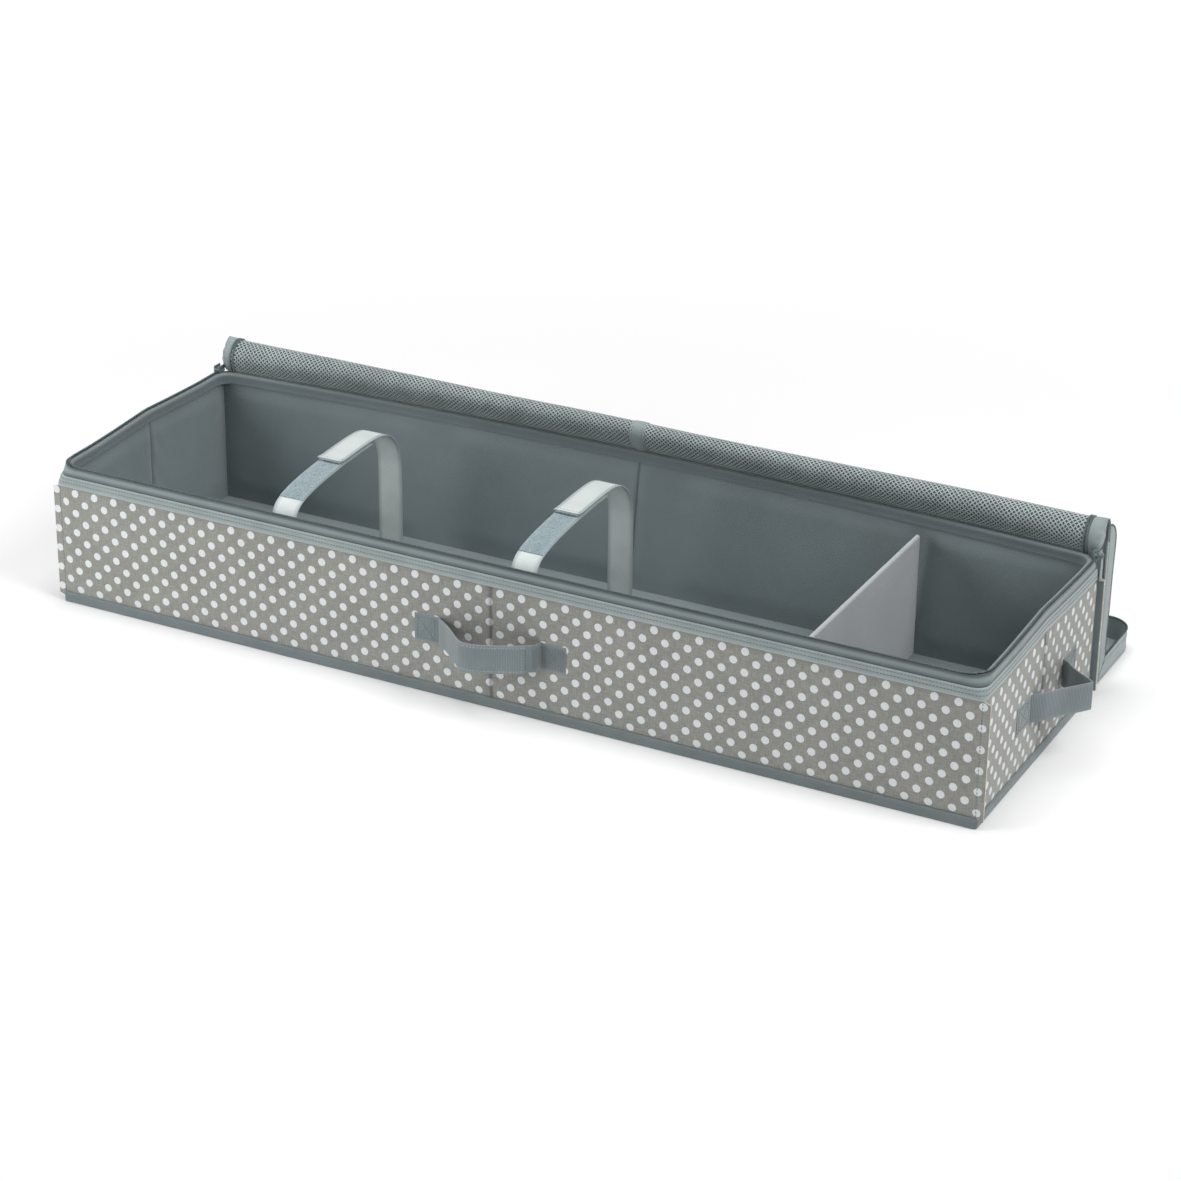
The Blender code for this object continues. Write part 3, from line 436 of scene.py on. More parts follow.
@dataclass(frozen=True)
class Yarn:
    """Thin yarn, thread or raw cloth edge: no map, only a twist and an uneven tone."""

    ground: tuple
    light: tuple
    twist: float = 2400.0
    roughness: float = 0.6
    relief: float = 0.0001

    def build(self, name: str) -> bpy.types.Material:
        """Builds the material under this name."""
        recipe = Recipe(name)
        place = recipe.place()
        strands = recipe.noise(recipe.stretched(place, (1.0, 1.0, 0.35)), self.twist, 2.0)
        colour = recipe.mix(recipe.ramp(strands, 0.3, 0.7), self.ground, self.light)
        colour = recipe.mottle(colour, place, 40.0, 0.88, 1.08)
        rough = recipe.ramp(strands, 0.2, 0.8, self.roughness, self.roughness + 0.15)
        return recipe.finish(colour, rough, strands, self.relief, Sheen_Weight=0.2)


@dataclass(frozen=True)
class CoilPlastic:
    """Smooth dark nylon of a zip's coil."""

    ground: tuple = srgb(66, 78, 81)
    light: tuple = srgb(92, 106, 109)

    def build(self, name: str) -> bpy.types.Material:
        """Builds the material under this name."""
        recipe = Recipe(name)
        place = recipe.place()
        scuff = recipe.noise(place, 600.0, 3.0)
        colour = recipe.mix(recipe.ramp(scuff, 0.4, 0.7), self.ground, self.light)
        colour = recipe.mottle(colour, place, 30.0, 0.92, 1.06, 2.0)
        rough = recipe.ramp(scuff, 0.3, 0.7, 0.34, 0.5)
        return recipe.finish(colour, rough, scuff, 0.00005)


@dataclass(frozen=True)
class PaintedMetal:
    """Cast metal with a coat of grey paint that is rubbed at its high spots."""

    ground: tuple = srgb(112, 126, 129)
    rubbed: tuple = srgb(176, 184, 184)

    def build(self, name: str) -> bpy.types.Material:
        """Builds the material under this name."""
        recipe = Recipe(name)
        place = recipe.place()
        specks = recipe.noise(place, 1400.0, 3.0)
        rub = recipe.ramp(recipe.noise(place, 240.0, 4.0), 0.58, 0.72)
        colour = recipe.mix(recipe.math("MULTIPLY", rub, 0.6), self.ground, self.rubbed)
        rough = recipe.ramp(specks, 0.3, 0.7, 0.3, 0.46)
        return recipe.finish(colour, rough, specks, 0.00004, Metallic=0.35, Coat_Weight=0.25)


@dataclass(frozen=True)
class BoardCard:
    """Grey stiffening card with short fibres in it."""

    ground: tuple = srgb(148, 143, 134)
    fibre: tuple = srgb(112, 106, 98)

    def build(self, name: str) -> bpy.types.Material:
        """Builds the material under this name."""
        recipe = Recipe(name)
        place = recipe.place()
        fibres = recipe.noise(recipe.stretched(place, (260.0, 90.0, 420.0)), 1.0, 4.0)
        colour = recipe.mix(recipe.ramp(fibres, 0.55, 0.7), self.ground, self.fibre)
        colour = recipe.mottle(colour, place, 14.0, 0.94, 1.05)
        return recipe.finish(colour, recipe.ramp(fibres, 0.3, 0.7, 0.85, 0.95), fibres, 0.0001)


FINISHES = {
    Stuff.DOTTED: PrintedCloth(),
    Stuff.BASE: PlainCloth(srgb(92, 100, 102), srgb(124, 132, 133), 0.0014),
    Stuff.BOARD: BoardCard(),
    Stuff.LINING: PlainCloth(srgb(103, 115, 118), srgb(136, 147, 149), 0.0015),
    Stuff.TAPE: RibbedTape(srgb(122, 134, 135), srgb(162, 173, 173), 0.0010, 1),
    Stuff.WEBBING: RibbedTape(srgb(96, 107, 110), srgb(134, 145, 148), 0.0016, 0, 0.0003),
    Stuff.SEAM: Yarn(srgb(196, 190, 172), srgb(222, 218, 204), 1500.0, 0.8),
    Stuff.COIL: CoilPlastic(),
    Stuff.DIVIDER: PlainCloth(srgb(152, 156, 159), srgb(184, 188, 190), 0.0019),
    Stuff.STRAP: RibbedTape(srgb(186, 196, 195), srgb(218, 224, 222), 0.0015, 0, 0.00016,
                            edge=srgb(118, 134, 139), edge_share=0.8),
    Stuff.PAD: PileTape(srgb(112, 134, 142), srgb(186, 205, 210)),
    Stuff.NET: Yarn(srgb(138, 150, 151), srgb(182, 192, 191), 1800.0, 0.55),
    Stuff.METAL: PaintedMetal(),
    Trim.ZIP_TAPE: RibbedTape(srgb(82, 95, 98), srgb(114, 127, 129), 0.0011, 1, edge=srgb(146, 158, 159)),
    Trim.BINDING: RibbedTape(srgb(86, 96, 99), srgb(124, 135, 137), 0.0012, 1),
    Trim.HOOKS: PileTape(srgb(140, 156, 160), srgb(190, 204, 206), 900.0),
    Trim.BACKING: PlainCloth(srgb(108, 120, 122), srgb(140, 152, 153), 0.0012),
    Trim.FACING: PlainCloth(srgb(94, 106, 109), srgb(126, 137, 140), 0.0013),
    Trim.THREAD: Yarn(srgb(84, 97, 101), srgb(118, 130, 134)),
    Trim.PALE_THREAD: Yarn(srgb(140, 153, 155), srgb(180, 191, 192)),
}


class Dresser:
    """Keeps one material for each finish."""

    def __init__(self) -> None:
        """Builds every finish's material."""
        self.materials = {kind: finish.build(kind.value) for kind, finish in FINISHES.items()}

    def __getitem__(self, kind: Stuff | Trim) -> bpy.types.Material:
        """Gives the finish's material."""
        return self.materials[kind]


DRESSER = Dresser()


# ---------------------------------------------------------------- carrying


@dataclass(frozen=True)
class Ride:
    """Carries a piece on one body."""

    body: str = "case"

    def carry(self, obj: bpy.types.Object) -> None:
        """Sets the piece on its body."""
        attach(obj, self.body)


@dataclass(frozen=True)
class Bend:
    """Names the two bodies and the span that a piece runs between; the piece is not bent."""

    first: str
    second: str
    start: tuple[float, float, float]
    end: tuple[float, float, float]

    def carry(self, obj: bpy.types.Object) -> None:
        """Bakes the piece's placement into its mesh, without setting it on either body."""
        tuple(self.start)
        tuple(self.end)
        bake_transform(obj)


CASE = Ride()


def install(obj: bpy.types.Object, kind: Stuff | Trim, carrier: Ride | Bend = CASE,
            stands_for: Sequence[str] = ()) -> bpy.types.Object:
    """Hands a finished piece to the frame.

    Args:
        obj: The piece.
        kind: Its finish; not used.
        carrier: What it moves with.
        stands_for: The frame's nodes that it replaces.

    Returns:
        The piece.
    """
    carrier.carry(obj)
    if stands_for:
        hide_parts(*stands_for)
    LOG.info("%s: %d faces", obj.name, len(obj.data.polygons))
    return obj


# ---------------------------------------------------------------- meshes


@dataclass(frozen=True)
class Spot:
    """One point of a cloth piece: its place, its place on the flat cloth in metres, and how worn it is; a value
    below 0 is painted shade instead.
    """

    place: Vector
    cloth: tuple[float, float]
    wear: float = 0.0


@dataclass
class Cut:
    """Collects the faces of one piece."""

    spots: list[Spot] = field(default_factory=list)
    faces: list[tuple[int, ...]] = field(default_factory=list)

    def patch(self, cells_u: int, cells_v: int, spot: Callable[[float, float], Spot]) -> "Cut":
        """Adds a grid of cells.

        Args:
            cells_u: The number of cells one way.
            cells_v: The number of cells the other way.
            spot: Gives the point for two shares from 0 to 1.

        Returns:
            This cut, so that calls can follow each other.
        """
        first = len(self.spots)
        wide = cells_u + 1
        for row in range(cells_v + 1):
            self.spots.extend(spot(column / cells_u, row / cells_v) for column in range(wide))
        for row in range(cells_v):
            for column in range(cells_u):
                corner = first + row * wide + column
                self.faces.append((corner, corner + 1, corner + 1 + wide, corner + wide))
        return self

    def band(self, line: Sequence[Vector], across: Sequence[Vector], section: Profile, offset: float = 0.0,
             tone: float = 0.0) -> "Cut":
        """Adds a closed band: a section drawn along a line, with its two ends capped.

        Args:
            line: The points that the band follows.
            across: The direction of the band's width at each of them.
            section: The points of the section, each with its places across and out of the band.
            offset: Where the band starts on its flat cloth.
            tone: How much more worn the whole band is; below 0 it is darker, as painted shade.

        Returns:
            This cut.
        """
        first = len(self.spots)
        half = max(abs(point[0]) for point in section)
        run = offset
        for step, (place, side, out) in enumerate(zip(line, across, outward(line, across))):
            run += (place - line[step - 1]).length if step else 0.0
            for wide, high in section:
                # The tone's part below 0 is painted shade over the whole band.
                worn = min(1.0, abs(wide) / half) ** 8 + tone
                self.spots.append(Spot(place + side * wide + out * high, (run, wide), worn))
        size = len(section)
        for step in range(len(line) - 1):
            for turn in range(size):
                corner = first + step * size + turn
                beside = first + step * size + (turn + 1) % size
                self.faces.append((corner, beside, beside + size, corner + size))
        last = first + (len(line) - 1) * size
        self.faces.append(tuple(range(first + size - 1, first - 1, -1)))
        self.faces.append(tuple(range(last, last + size)))
        return self

    def fit(self, name: str, kinds: Sequence[Stuff | Trim], carrier: Ride | Bend = CASE,
            stands_for: Sequence[str] = (), thickness: float = 0.0, offset: float = 0.0,
            sharp: float = 40.0) -> bpy.types.Object:
        """Makes the piece and hands it to the frame.

        Args:
            name: The piece's name.
            kinds: Its finish, and a second one for the rim of its thickness.
            carrier: What it moves with.
            stands_for: The frame's nodes that it replaces.
            thickness: How thick an open sheet becomes.
            offset: Where the thickness goes: -1 behind the faces, 1 before them, 0 half on each side.
            sharp: The angle in degrees past which an edge stays sharp.

        Returns:
            The new object.
        """
        mesh = bpy.data.meshes.new(name)
        mesh.from_pydata([spot.place for spot in self.spots], [], self.faces)
        cloth = mesh.uv_layers.new(name="cloth")
        for loop in mesh.loops:
            cloth.data[loop.index].uv = self.spots[loop.vertex_index].cloth
        wear = mesh.attributes.new("wear", "FLOAT", "POINT")
        wear.data.foreach_set("value", [spot.wear for spot in self.spots])
        for kind in kinds:
            mesh.materials.append(DRESSER[kind])
        bm = bmesh.new()
        bm.from_mesh(mesh)
        bmesh.ops.remove_doubles(bm, verts=bm.verts[:], dist=MERGE)
        bmesh.ops.recalc_face_normals(bm, faces=bm.faces[:])
        bm.to_mesh(mesh)
        bm.free()
        obj = bpy.data.objects.new(name, mesh)
        bpy.context.scene.collection.objects.link(obj)
        if thickness:
            thicken(obj, thickness, offset, len(kinds) - 1)
        soften(obj, sharp)
        return install(obj, kinds[0], carrier, stands_for)


def thicken(obj: bpy.types.Object, thickness: float, offset: float, rim_finish: int = 0) -> None:
    """Gives an open sheet its thickness, for good."""
    solidify = obj.modifiers.new("thickness", "SOLIDIFY")
    solidify.thickness = thickness
    solidify.offset = offset
    solidify.material_offset_rim = rim_finish
    settle(obj)


def settle(obj: bpy.types.Object) -> None:
    """Swaps the object's mesh for the one that its modifiers make, and removes them."""
    bpy.context.view_layer.update()
    graph = bpy.context.evaluated_depsgraph_get()
    mesh = bpy.data.meshes.new_from_object(obj.evaluated_get(graph), preserve_all_data_layers=True, depsgraph=graph)
    obj.modifiers.clear()
    obj.data = mesh


def soften(obj: bpy.types.Object, angle: float) -> None:
    """Shades the object smooth up to an angle between faces, in degrees."""
    obj.data.shade_smooth()
    obj.data.set_sharp_from_angle(angle=math.radians(angle))


def tape_section(width: float, thickness: float, cells: int = 6) -> Profile:
    """Lists the section of a flat tape with rounded edges.

    Args:
        width: The tape's width.
        thickness: Its thickness.
        cells: The number of steps across it.

    Returns:
        The points, each with its places across and out of the tape.
    """
    half, thick = width / 2, thickness / 2
    inner = half - thick
    top = [(-inner + 2 * inner * step / cells, thick) for step in range(cells + 1)]
    low = [(-wide, -high) for wide, high in top]
    turn = 0.7
    return [*top, (inner + thick * turn, thick * turn), (half, 0.0), (inner + thick * turn, -thick * turn),
            *low, (-inner - thick * turn, -thick * turn), (-half, 0.0), (-inner - thick * turn, thick * turn)]


def smooth_line(points: Sequence[Vector], samples: int) -> Line:
    """Draws a smooth line through points.

    Args:
        points: The points.
        samples: The number of steps between each pair.

    Returns:
        The points of the line.
    """
    ends = [2 * points[0] - points[1], *points, 2 * points[-1] - points[-2]]
    line = []
    for a, b, c, d in zip(ends, ends[1:], ends[2:], ends[3:]):
        for step in range(samples):
            t = step / samples
            square = (2 * a - 5 * b + 4 * c - d) * t**2
            cube = (3 * b - a - 3 * c + d) * t**3
            line.append(((c - a) * t + square + cube) / 2 + b)
    return [*line, points[-1]]


def outward(line: Sequence[Vector], across: Sequence[Vector]) -> Line:
    """Lists the direction out of a band at each point of its line."""
    ways = []
    for step, side in enumerate(across):
        way = line[min(step + 1, len(line) - 1)] - line[max(step - 1, 0)]
        ways.append(side.cross(way.normalized()).normalized())
    return ways


def crossed(corners: Line) -> list[Line]:
    """Lists the rows of a sewn box with a cross in it, from its four corners."""
    return [[*corners, corners[0]], [corners[0], corners[2]], [corners[1], corners[3]]]


def lifted(line: Sequence[Vector], across: Sequence[Vector], wide: float, high: float) -> Line:
    """Gives a line that runs beside a band's own line.

    Args:
        line: The band's line.
        across: The direction of its width at each point.
        wide: How far to its side the new line runs.
        high: How far out of the band.

    Returns:
        The new line.
    """
    ways = outward(line, across)
    return [place + side * wide + out * high for place, side, out in zip(line, across, ways)]


def ease(value: float, low: float, high: float) -> float:
    """Steps smoothly from 0 at low to 1 at high."""
    share = min(1.0, max(0.0, (value - low) / (high - low)))
    return share * share * (3 - 2 * share)


def dip(value: float, centre: float, reach: float) -> float:
    """Gives a smooth hump: 1 at the centre, fading over the reach on both sides."""
    return math.exp(-(((value - centre) / reach) ** 2))


def gathered(share: float, centre: float, power: float = 1.4) -> float:
    """Maps an even share to a place from -1 to 1, with the places closer together around the centre."""
    turn = 2 * share - 1
    return centre + math.copysign(abs(turn) ** power, turn) * (1 - centre * math.copysign(1, turn))


def ripple(a: float, b: float, seed: float) -> float:
    """Gives gentle, fixed unevenness between 0 and 1."""
    return min(1.0, max(0.0, 0.5 + 0.6 * noise.noise(Vector((a, b, seed)))))


# ---------------------------------------------------------------- node trees


class Tree(Wiring):
    """Builds a Geometry Nodes tree with named inputs that ends in real, finished faces."""

    def __init__(self, name: str) -> None:
        """Starts a tree with a geometry input and a finish."""
        super().__init__(bpy.data.node_groups.new(name, "GeometryNodeTree"))
        self.tree.interface.new_socket("Geometry", in_out="OUTPUT", socket_type="NodeSocketGeometry")
        self.source = self.node("NodeGroupInput")
        self.result = self.node("NodeGroupOutput")
        self.keys: dict[str, str] = {}
        self.take("Shape", "NodeSocketGeometry")
        self.take("Finish", "NodeSocketMaterial")

    def take(self, name: str, kind: str = "NodeSocketFloat", start: float | None = None) -> bpy.types.NodeSocket:
        """Adds a named input.

        Args:
            name: Its name.
            kind: Its socket type.
            start: Its value to begin with.

        Returns:
            The socket that gives it inside the tree.
        """
        socket = self.tree.interface.new_socket(name, in_out="INPUT", socket_type=kind)
        if start is not None:
            socket.default_value = start
        self.keys[name] = socket.identifier
        return self.source.outputs[name]

    def close(self, geometry: bpy.types.NodeSocket) -> "Tree":
        """Ends the tree in Realize Instances and Set Material."""
        real = self.node("GeometryNodeRealizeInstances", {"Geometry": geometry})
        feeds = {"Geometry": real.outputs[0], "Material": self.source.outputs["Finish"]}
        self.feed(self.result.inputs["Geometry"], self.node("GeometryNodeSetMaterial", feeds).outputs[0])
        return self

    def along(self, points: bpy.types.NodeSocket, thing: bpy.types.NodeSocket,
              turn: bpy.types.NodeSocket) -> bpy.types.NodeSocket:
        """Sets a thing on every point of a line, turned from the line's own way by three angles."""
        turned = self.node("FunctionNodeEulerToRotation", {0: turn})
        lie = self.node("FunctionNodeRotateRotation", {0: points.node.outputs["Rotation"], 1: turned.outputs[0]},
                        rotation_space="LOCAL")
        feeds = {"Points": points, "Instance": thing, "Rotation": lie.outputs[0]}
        return self.node("GeometryNodeInstanceOnPoints", feeds).outputs[0]

    def grow(self, name: str, mesh: bpy.types.Mesh, kind: Stuff | Trim, **values: float) -> bpy.types.Object:
        """Runs the tree on a mesh and keeps the plain mesh that comes out.

        Args:
            name: The object's name.
            mesh: The mesh that the tree starts from.
            kind: The piece's finish.
            values: The tree's inputs, with underscores for spaces.

        Returns:
            The new object.
        """
        obj = bpy.data.objects.new(name, mesh)
        bpy.context.scene.collection.objects.link(obj)
        modifier = obj.modifiers.new("tree", "NODES")
        modifier.node_group = self.tree
        modifier[self.keys["Finish"]] = DRESSER[kind]
        for key, value in values.items():
            modifier[self.keys[key.replace("_", " ")]] = value
        settle(obj)
        return obj


def stitch_tree() -> Tree:
    """Makes the tree of a stitch row: a rounded bead of thread at every pitch along the lines."""
    tree = Tree("stitch_row")
    pitch = tree.take("Pitch", start=0.0035)
    length = tree.take("Length", start=0.0026)
    width = tree.take("Width", start=0.0007)
    seed = tree.take("Seed", "NodeSocketInt", 3)
    curve = tree.node("GeometryNodeMeshToCurve", {0: tree.source.outputs["Shape"]})
    points = tree.node("GeometryNodeCurveToPoints", {"Curve": curve.outputs[0], "Length": pitch}, mode="LENGTH")
    ball = tree.node("GeometryNodeMeshUVSphere", {"Segments": 6, "Rings": 4, "Radius": 0.5})
    size = tree.node("ShaderNodeCombineXYZ", {0: width, 1: width, 2: length})
    bead = tree.node("GeometryNodeTransform", {"Geometry": ball.outputs[0], "Scale": size.outputs[0]})
    sway = tree.node("FunctionNodeRandomValue", {0: (-0.12, -0.12, 0.0), 1: (0.12, 0.12, 0.0), "Seed": seed},
                     data_type="FLOAT_VECTOR")
    sewn = tree.along(points.outputs["Points"], bead.outputs[0], sway.outputs[0])
    round_it = tree.node("GeometryNodeSetShadeSmooth", {0: sewn})
    return tree.close(round_it.outputs[0])


def coil_tree() -> Tree:
    """Makes the tree of a zip coil: slanted loops of wire around a cord that follows the line."""
    tree = Tree("zip_coil")
    pitch = tree.take("Pitch", start=0.0017)
    radius = tree.take("Radius", start=0.0013)
    wire = tree.take("Wire", start=0.0004)
    slant = tree.take("Slant", start=0.3)
    curve = tree.node("GeometryNodeMeshToCurve", {0: tree.source.outputs["Shape"]})
    points = tree.node("GeometryNodeCurveToPoints", {"Curve": curve.outputs[0], "Length": pitch}, mode="LENGTH")
    inner = tree.math("SUBTRACT", radius, wire)
    loop = tree.node("GeometryNodeCurvePrimitiveCircle", {"Resolution": 8, "Radius": inner})
    round_wire = tree.node("GeometryNodeCurvePrimitiveCircle", {"Resolution": 4, "Radius": wire})
    ring = tree.node("GeometryNodeCurveToMesh", {"Curve": loop.outputs[0], "Profile Curve": round_wire.outputs[0]})
    tip = tree.node("ShaderNodeCombineXYZ", {0: slant})
    loops = tree.along(points.outputs["Points"], ring.outputs[0], tip.outputs[0])
    thin = tree.math("MULTIPLY", radius, 0.62)
    core = tree.node("GeometryNodeCurvePrimitiveCircle", {"Resolution": 6, "Radius": thin})
    cord = tree.node("GeometryNodeCurveToMesh", {"Curve": curve.outputs[0], "Profile Curve": core.outputs[0],
                                                 "Fill Caps": True})
    both = tree.node("GeometryNodeJoinGeometry")
    tree.feed(both.inputs[0], loops)
    tree.feed(both.inputs[0], cord.outputs[0])
    round_it = tree.node("GeometryNodeSetShadeSmooth", {0: both.outputs[0]})
    return tree.close(round_it.outputs[0])


def net_tree() -> Tree:
    """Makes the tree of a flat diamond net: turned squares, opened by a share and trimmed to a rectangle."""
    tree = Tree("diamond_net")
    width = tree.take("Width", start=1.0)
    height = tree.take("Height", start=0.1)
    cell = tree.take("Cell", start=0.004)
    opening = tree.take("Opening", start=0.7)
    side = tree.math("MULTIPLY", tree.math("ADD", width, height), math.sqrt(0.5))
    count = tree.math("ADD", tree.math("ROUND", tree.math("DIVIDE", side, cell)), 1.0)
    size = tree.math("MULTIPLY", tree.math("SUBTRACT", count, 1.0), cell)
    grid = tree.node("GeometryNodeMeshGrid", {"Size X": size, "Size Y": size, "Vertices X": count,
                                              "Vertices Y": count})
    turned = tree.node("GeometryNodeTransform", {"Geometry": grid.outputs[0], "Rotation": (0.0, 0.0, math.pi / 4)})
    place = tree.node("GeometryNodeInputPosition")
    parts = tree.node("ShaderNodeSeparateXYZ", {0: place.outputs[0]})
    outside = []
    for axis, limit in ((0, width), (1, height)):
        reach = tree.math("ABSOLUTE", parts.outputs[axis])
        outside.append(tree.math("GREATER_THAN", reach, tree.math("MULTIPLY", limit, 0.5)))
    cut = tree.node("GeometryNodeDeleteGeometry", {"Geometry": turned.outputs[0],
                                                   "Selection": tree.math("MAXIMUM", *outside)}, domain="FACE")
    inner = tree.node("GeometryNodeExtrudeMesh", {"Mesh": cut.outputs[0], "Offset Scale": 0.0, "Individual": True},
                      mode="FACES")
    scaled = tree.node("GeometryNodeScaleElements", {"Geometry": inner.outputs["Mesh"],
                                                     "Selection": inner.outputs["Top"], "Scale": opening},
                       domain="FACE")
    opened = tree.node("GeometryNodeDeleteGeometry", {"Geometry": scaled.outputs[0],
                                                      "Selection": inner.outputs["Top"]}, domain="FACE")
    merged = tree.node("GeometryNodeMergeByDistance", {"Geometry": opened.outputs[0], "Distance": MERGE})
    return tree.close(merged.outputs[0])


STITCHES = stitch_tree()
COILS = coil_tree()
NETS = net_tree()


def lines_mesh(name: str, lines: Iterable[Sequence[Vector]]) -> bpy.types.Mesh:
    """Makes a mesh of bare edges along the lines."""
    points: Line = []
    edges: list[tuple[int, int]] = []
    for line in lines:
        first = len(points)
        points.extend(line)
        edges.extend((first + step, first + step + 1) for step in range(len(line) - 1))
    mesh = bpy.data.meshes.new(name)
    mesh.from_pydata(points, edges, [])
    return mesh


@dataclass(frozen=True)
class Stitch:
    """The size of a stitch: from one to the next, how long it is and how thick the thread stands."""

    pitch: float = 0.0035
    length: float = 0.0026
    width: float = 0.0007


PLAIN = Stitch()
WIDE = Stitch(0.0036)
CORNER = Stitch(0.0038, 0.0028, 0.0008)
BAND = Stitch(0.0034, 0.0024, 0.0008)
BOXED = Stitch(0.0032, 0.0023, 0.0008)
GRIP = Stitch(0.0034, 0.0025, 0.0006)
SMALL = Stitch(0.0032, 0.0024, 0.0006)


def sew(name: str, lines: Iterable[Sequence[Vector]], stitch: Stitch = PLAIN, carrier: Ride | Bend = CASE,
        kind: Trim = Trim.THREAD) -> None:
    """Sews rows of stitches along lines that lie on the cloth.

    Args:
        name: The piece's name.
        lines: The lines.
        stitch: The size of a stitch.
        carrier: What the stitches move with.
        kind: The thread.
    """
    sizes = {"Pitch": stitch.pitch, "Length": stitch.length, "Width": stitch.width}
    install(STITCHES.grow(name, lines_mesh(name, lines), kind, **sizes), kind, carrier)


def wind(name: str, lines: Iterable[Sequence[Vector]], radius: float, carrier: Ride | Bend = CASE,
         stands_for: Sequence[str] = (), kind: Stuff | Trim = Stuff.COIL, **values: float) -> None:
    """Winds a coil along the lines.

    Args:
        name: The piece's name.
        lines: The lines.
        radius: The coil's radius.
        carrier: What it moves with.
        stands_for: The frame's nodes that it replaces.
        kind: Its finish.
        values: The coil's other sizes.
    """
    made = COILS.grow(name, lines_mesh(name, lines), kind, Radius=radius, **values)
    install(made, kind, carrier, stands_for)


@dataclass(frozen=True)
class Net:
    """A net of fine yarn in diamonds, and how much of a rectangle of it is yarn."""

    cell: float = 0.0036
    opening: float = 0.70
    yarn: float = 0.0006
    yarn_share: float = 0.72

    def hang(self, name: str, size: tuple[float, float], place: Callable[[float, float], Vector],
             carrier: Ride | Bend, stands_for: Sequence[str], way: str, held_by: str) -> None:
        """Makes one piece of net.

        Args:
            name: The piece's name.
            size: Its width and length when flat.
            place: Gives the place of a point of the flat net, from its distances from the middle.
            carrier: What it moves with.
            stands_for: The frame's nodes that it replaces.
            way: How the sheet is held; not used.
            held_by: The piece that holds it; not used.
        """
        width, height = size
        obj = NETS.grow(name, bpy.data.meshes.new(name), Stuff.NET, Width=width, Height=height, Cell=self.cell,
                        Opening=self.opening)
        for vert in obj.data.vertices:
            x = max(-width / 2, min(width / 2, vert.co.x))
            y = max(-height / 2, min(height / 2, vert.co.y))
            vert.co = place(x, y)
        thicken(obj, self.yarn, 0.0)
        soften(obj, 50.0)
        install(obj, Stuff.NET, carrier, stands_for)


NET = Net()


# ---------------------------------------------------------------- the case


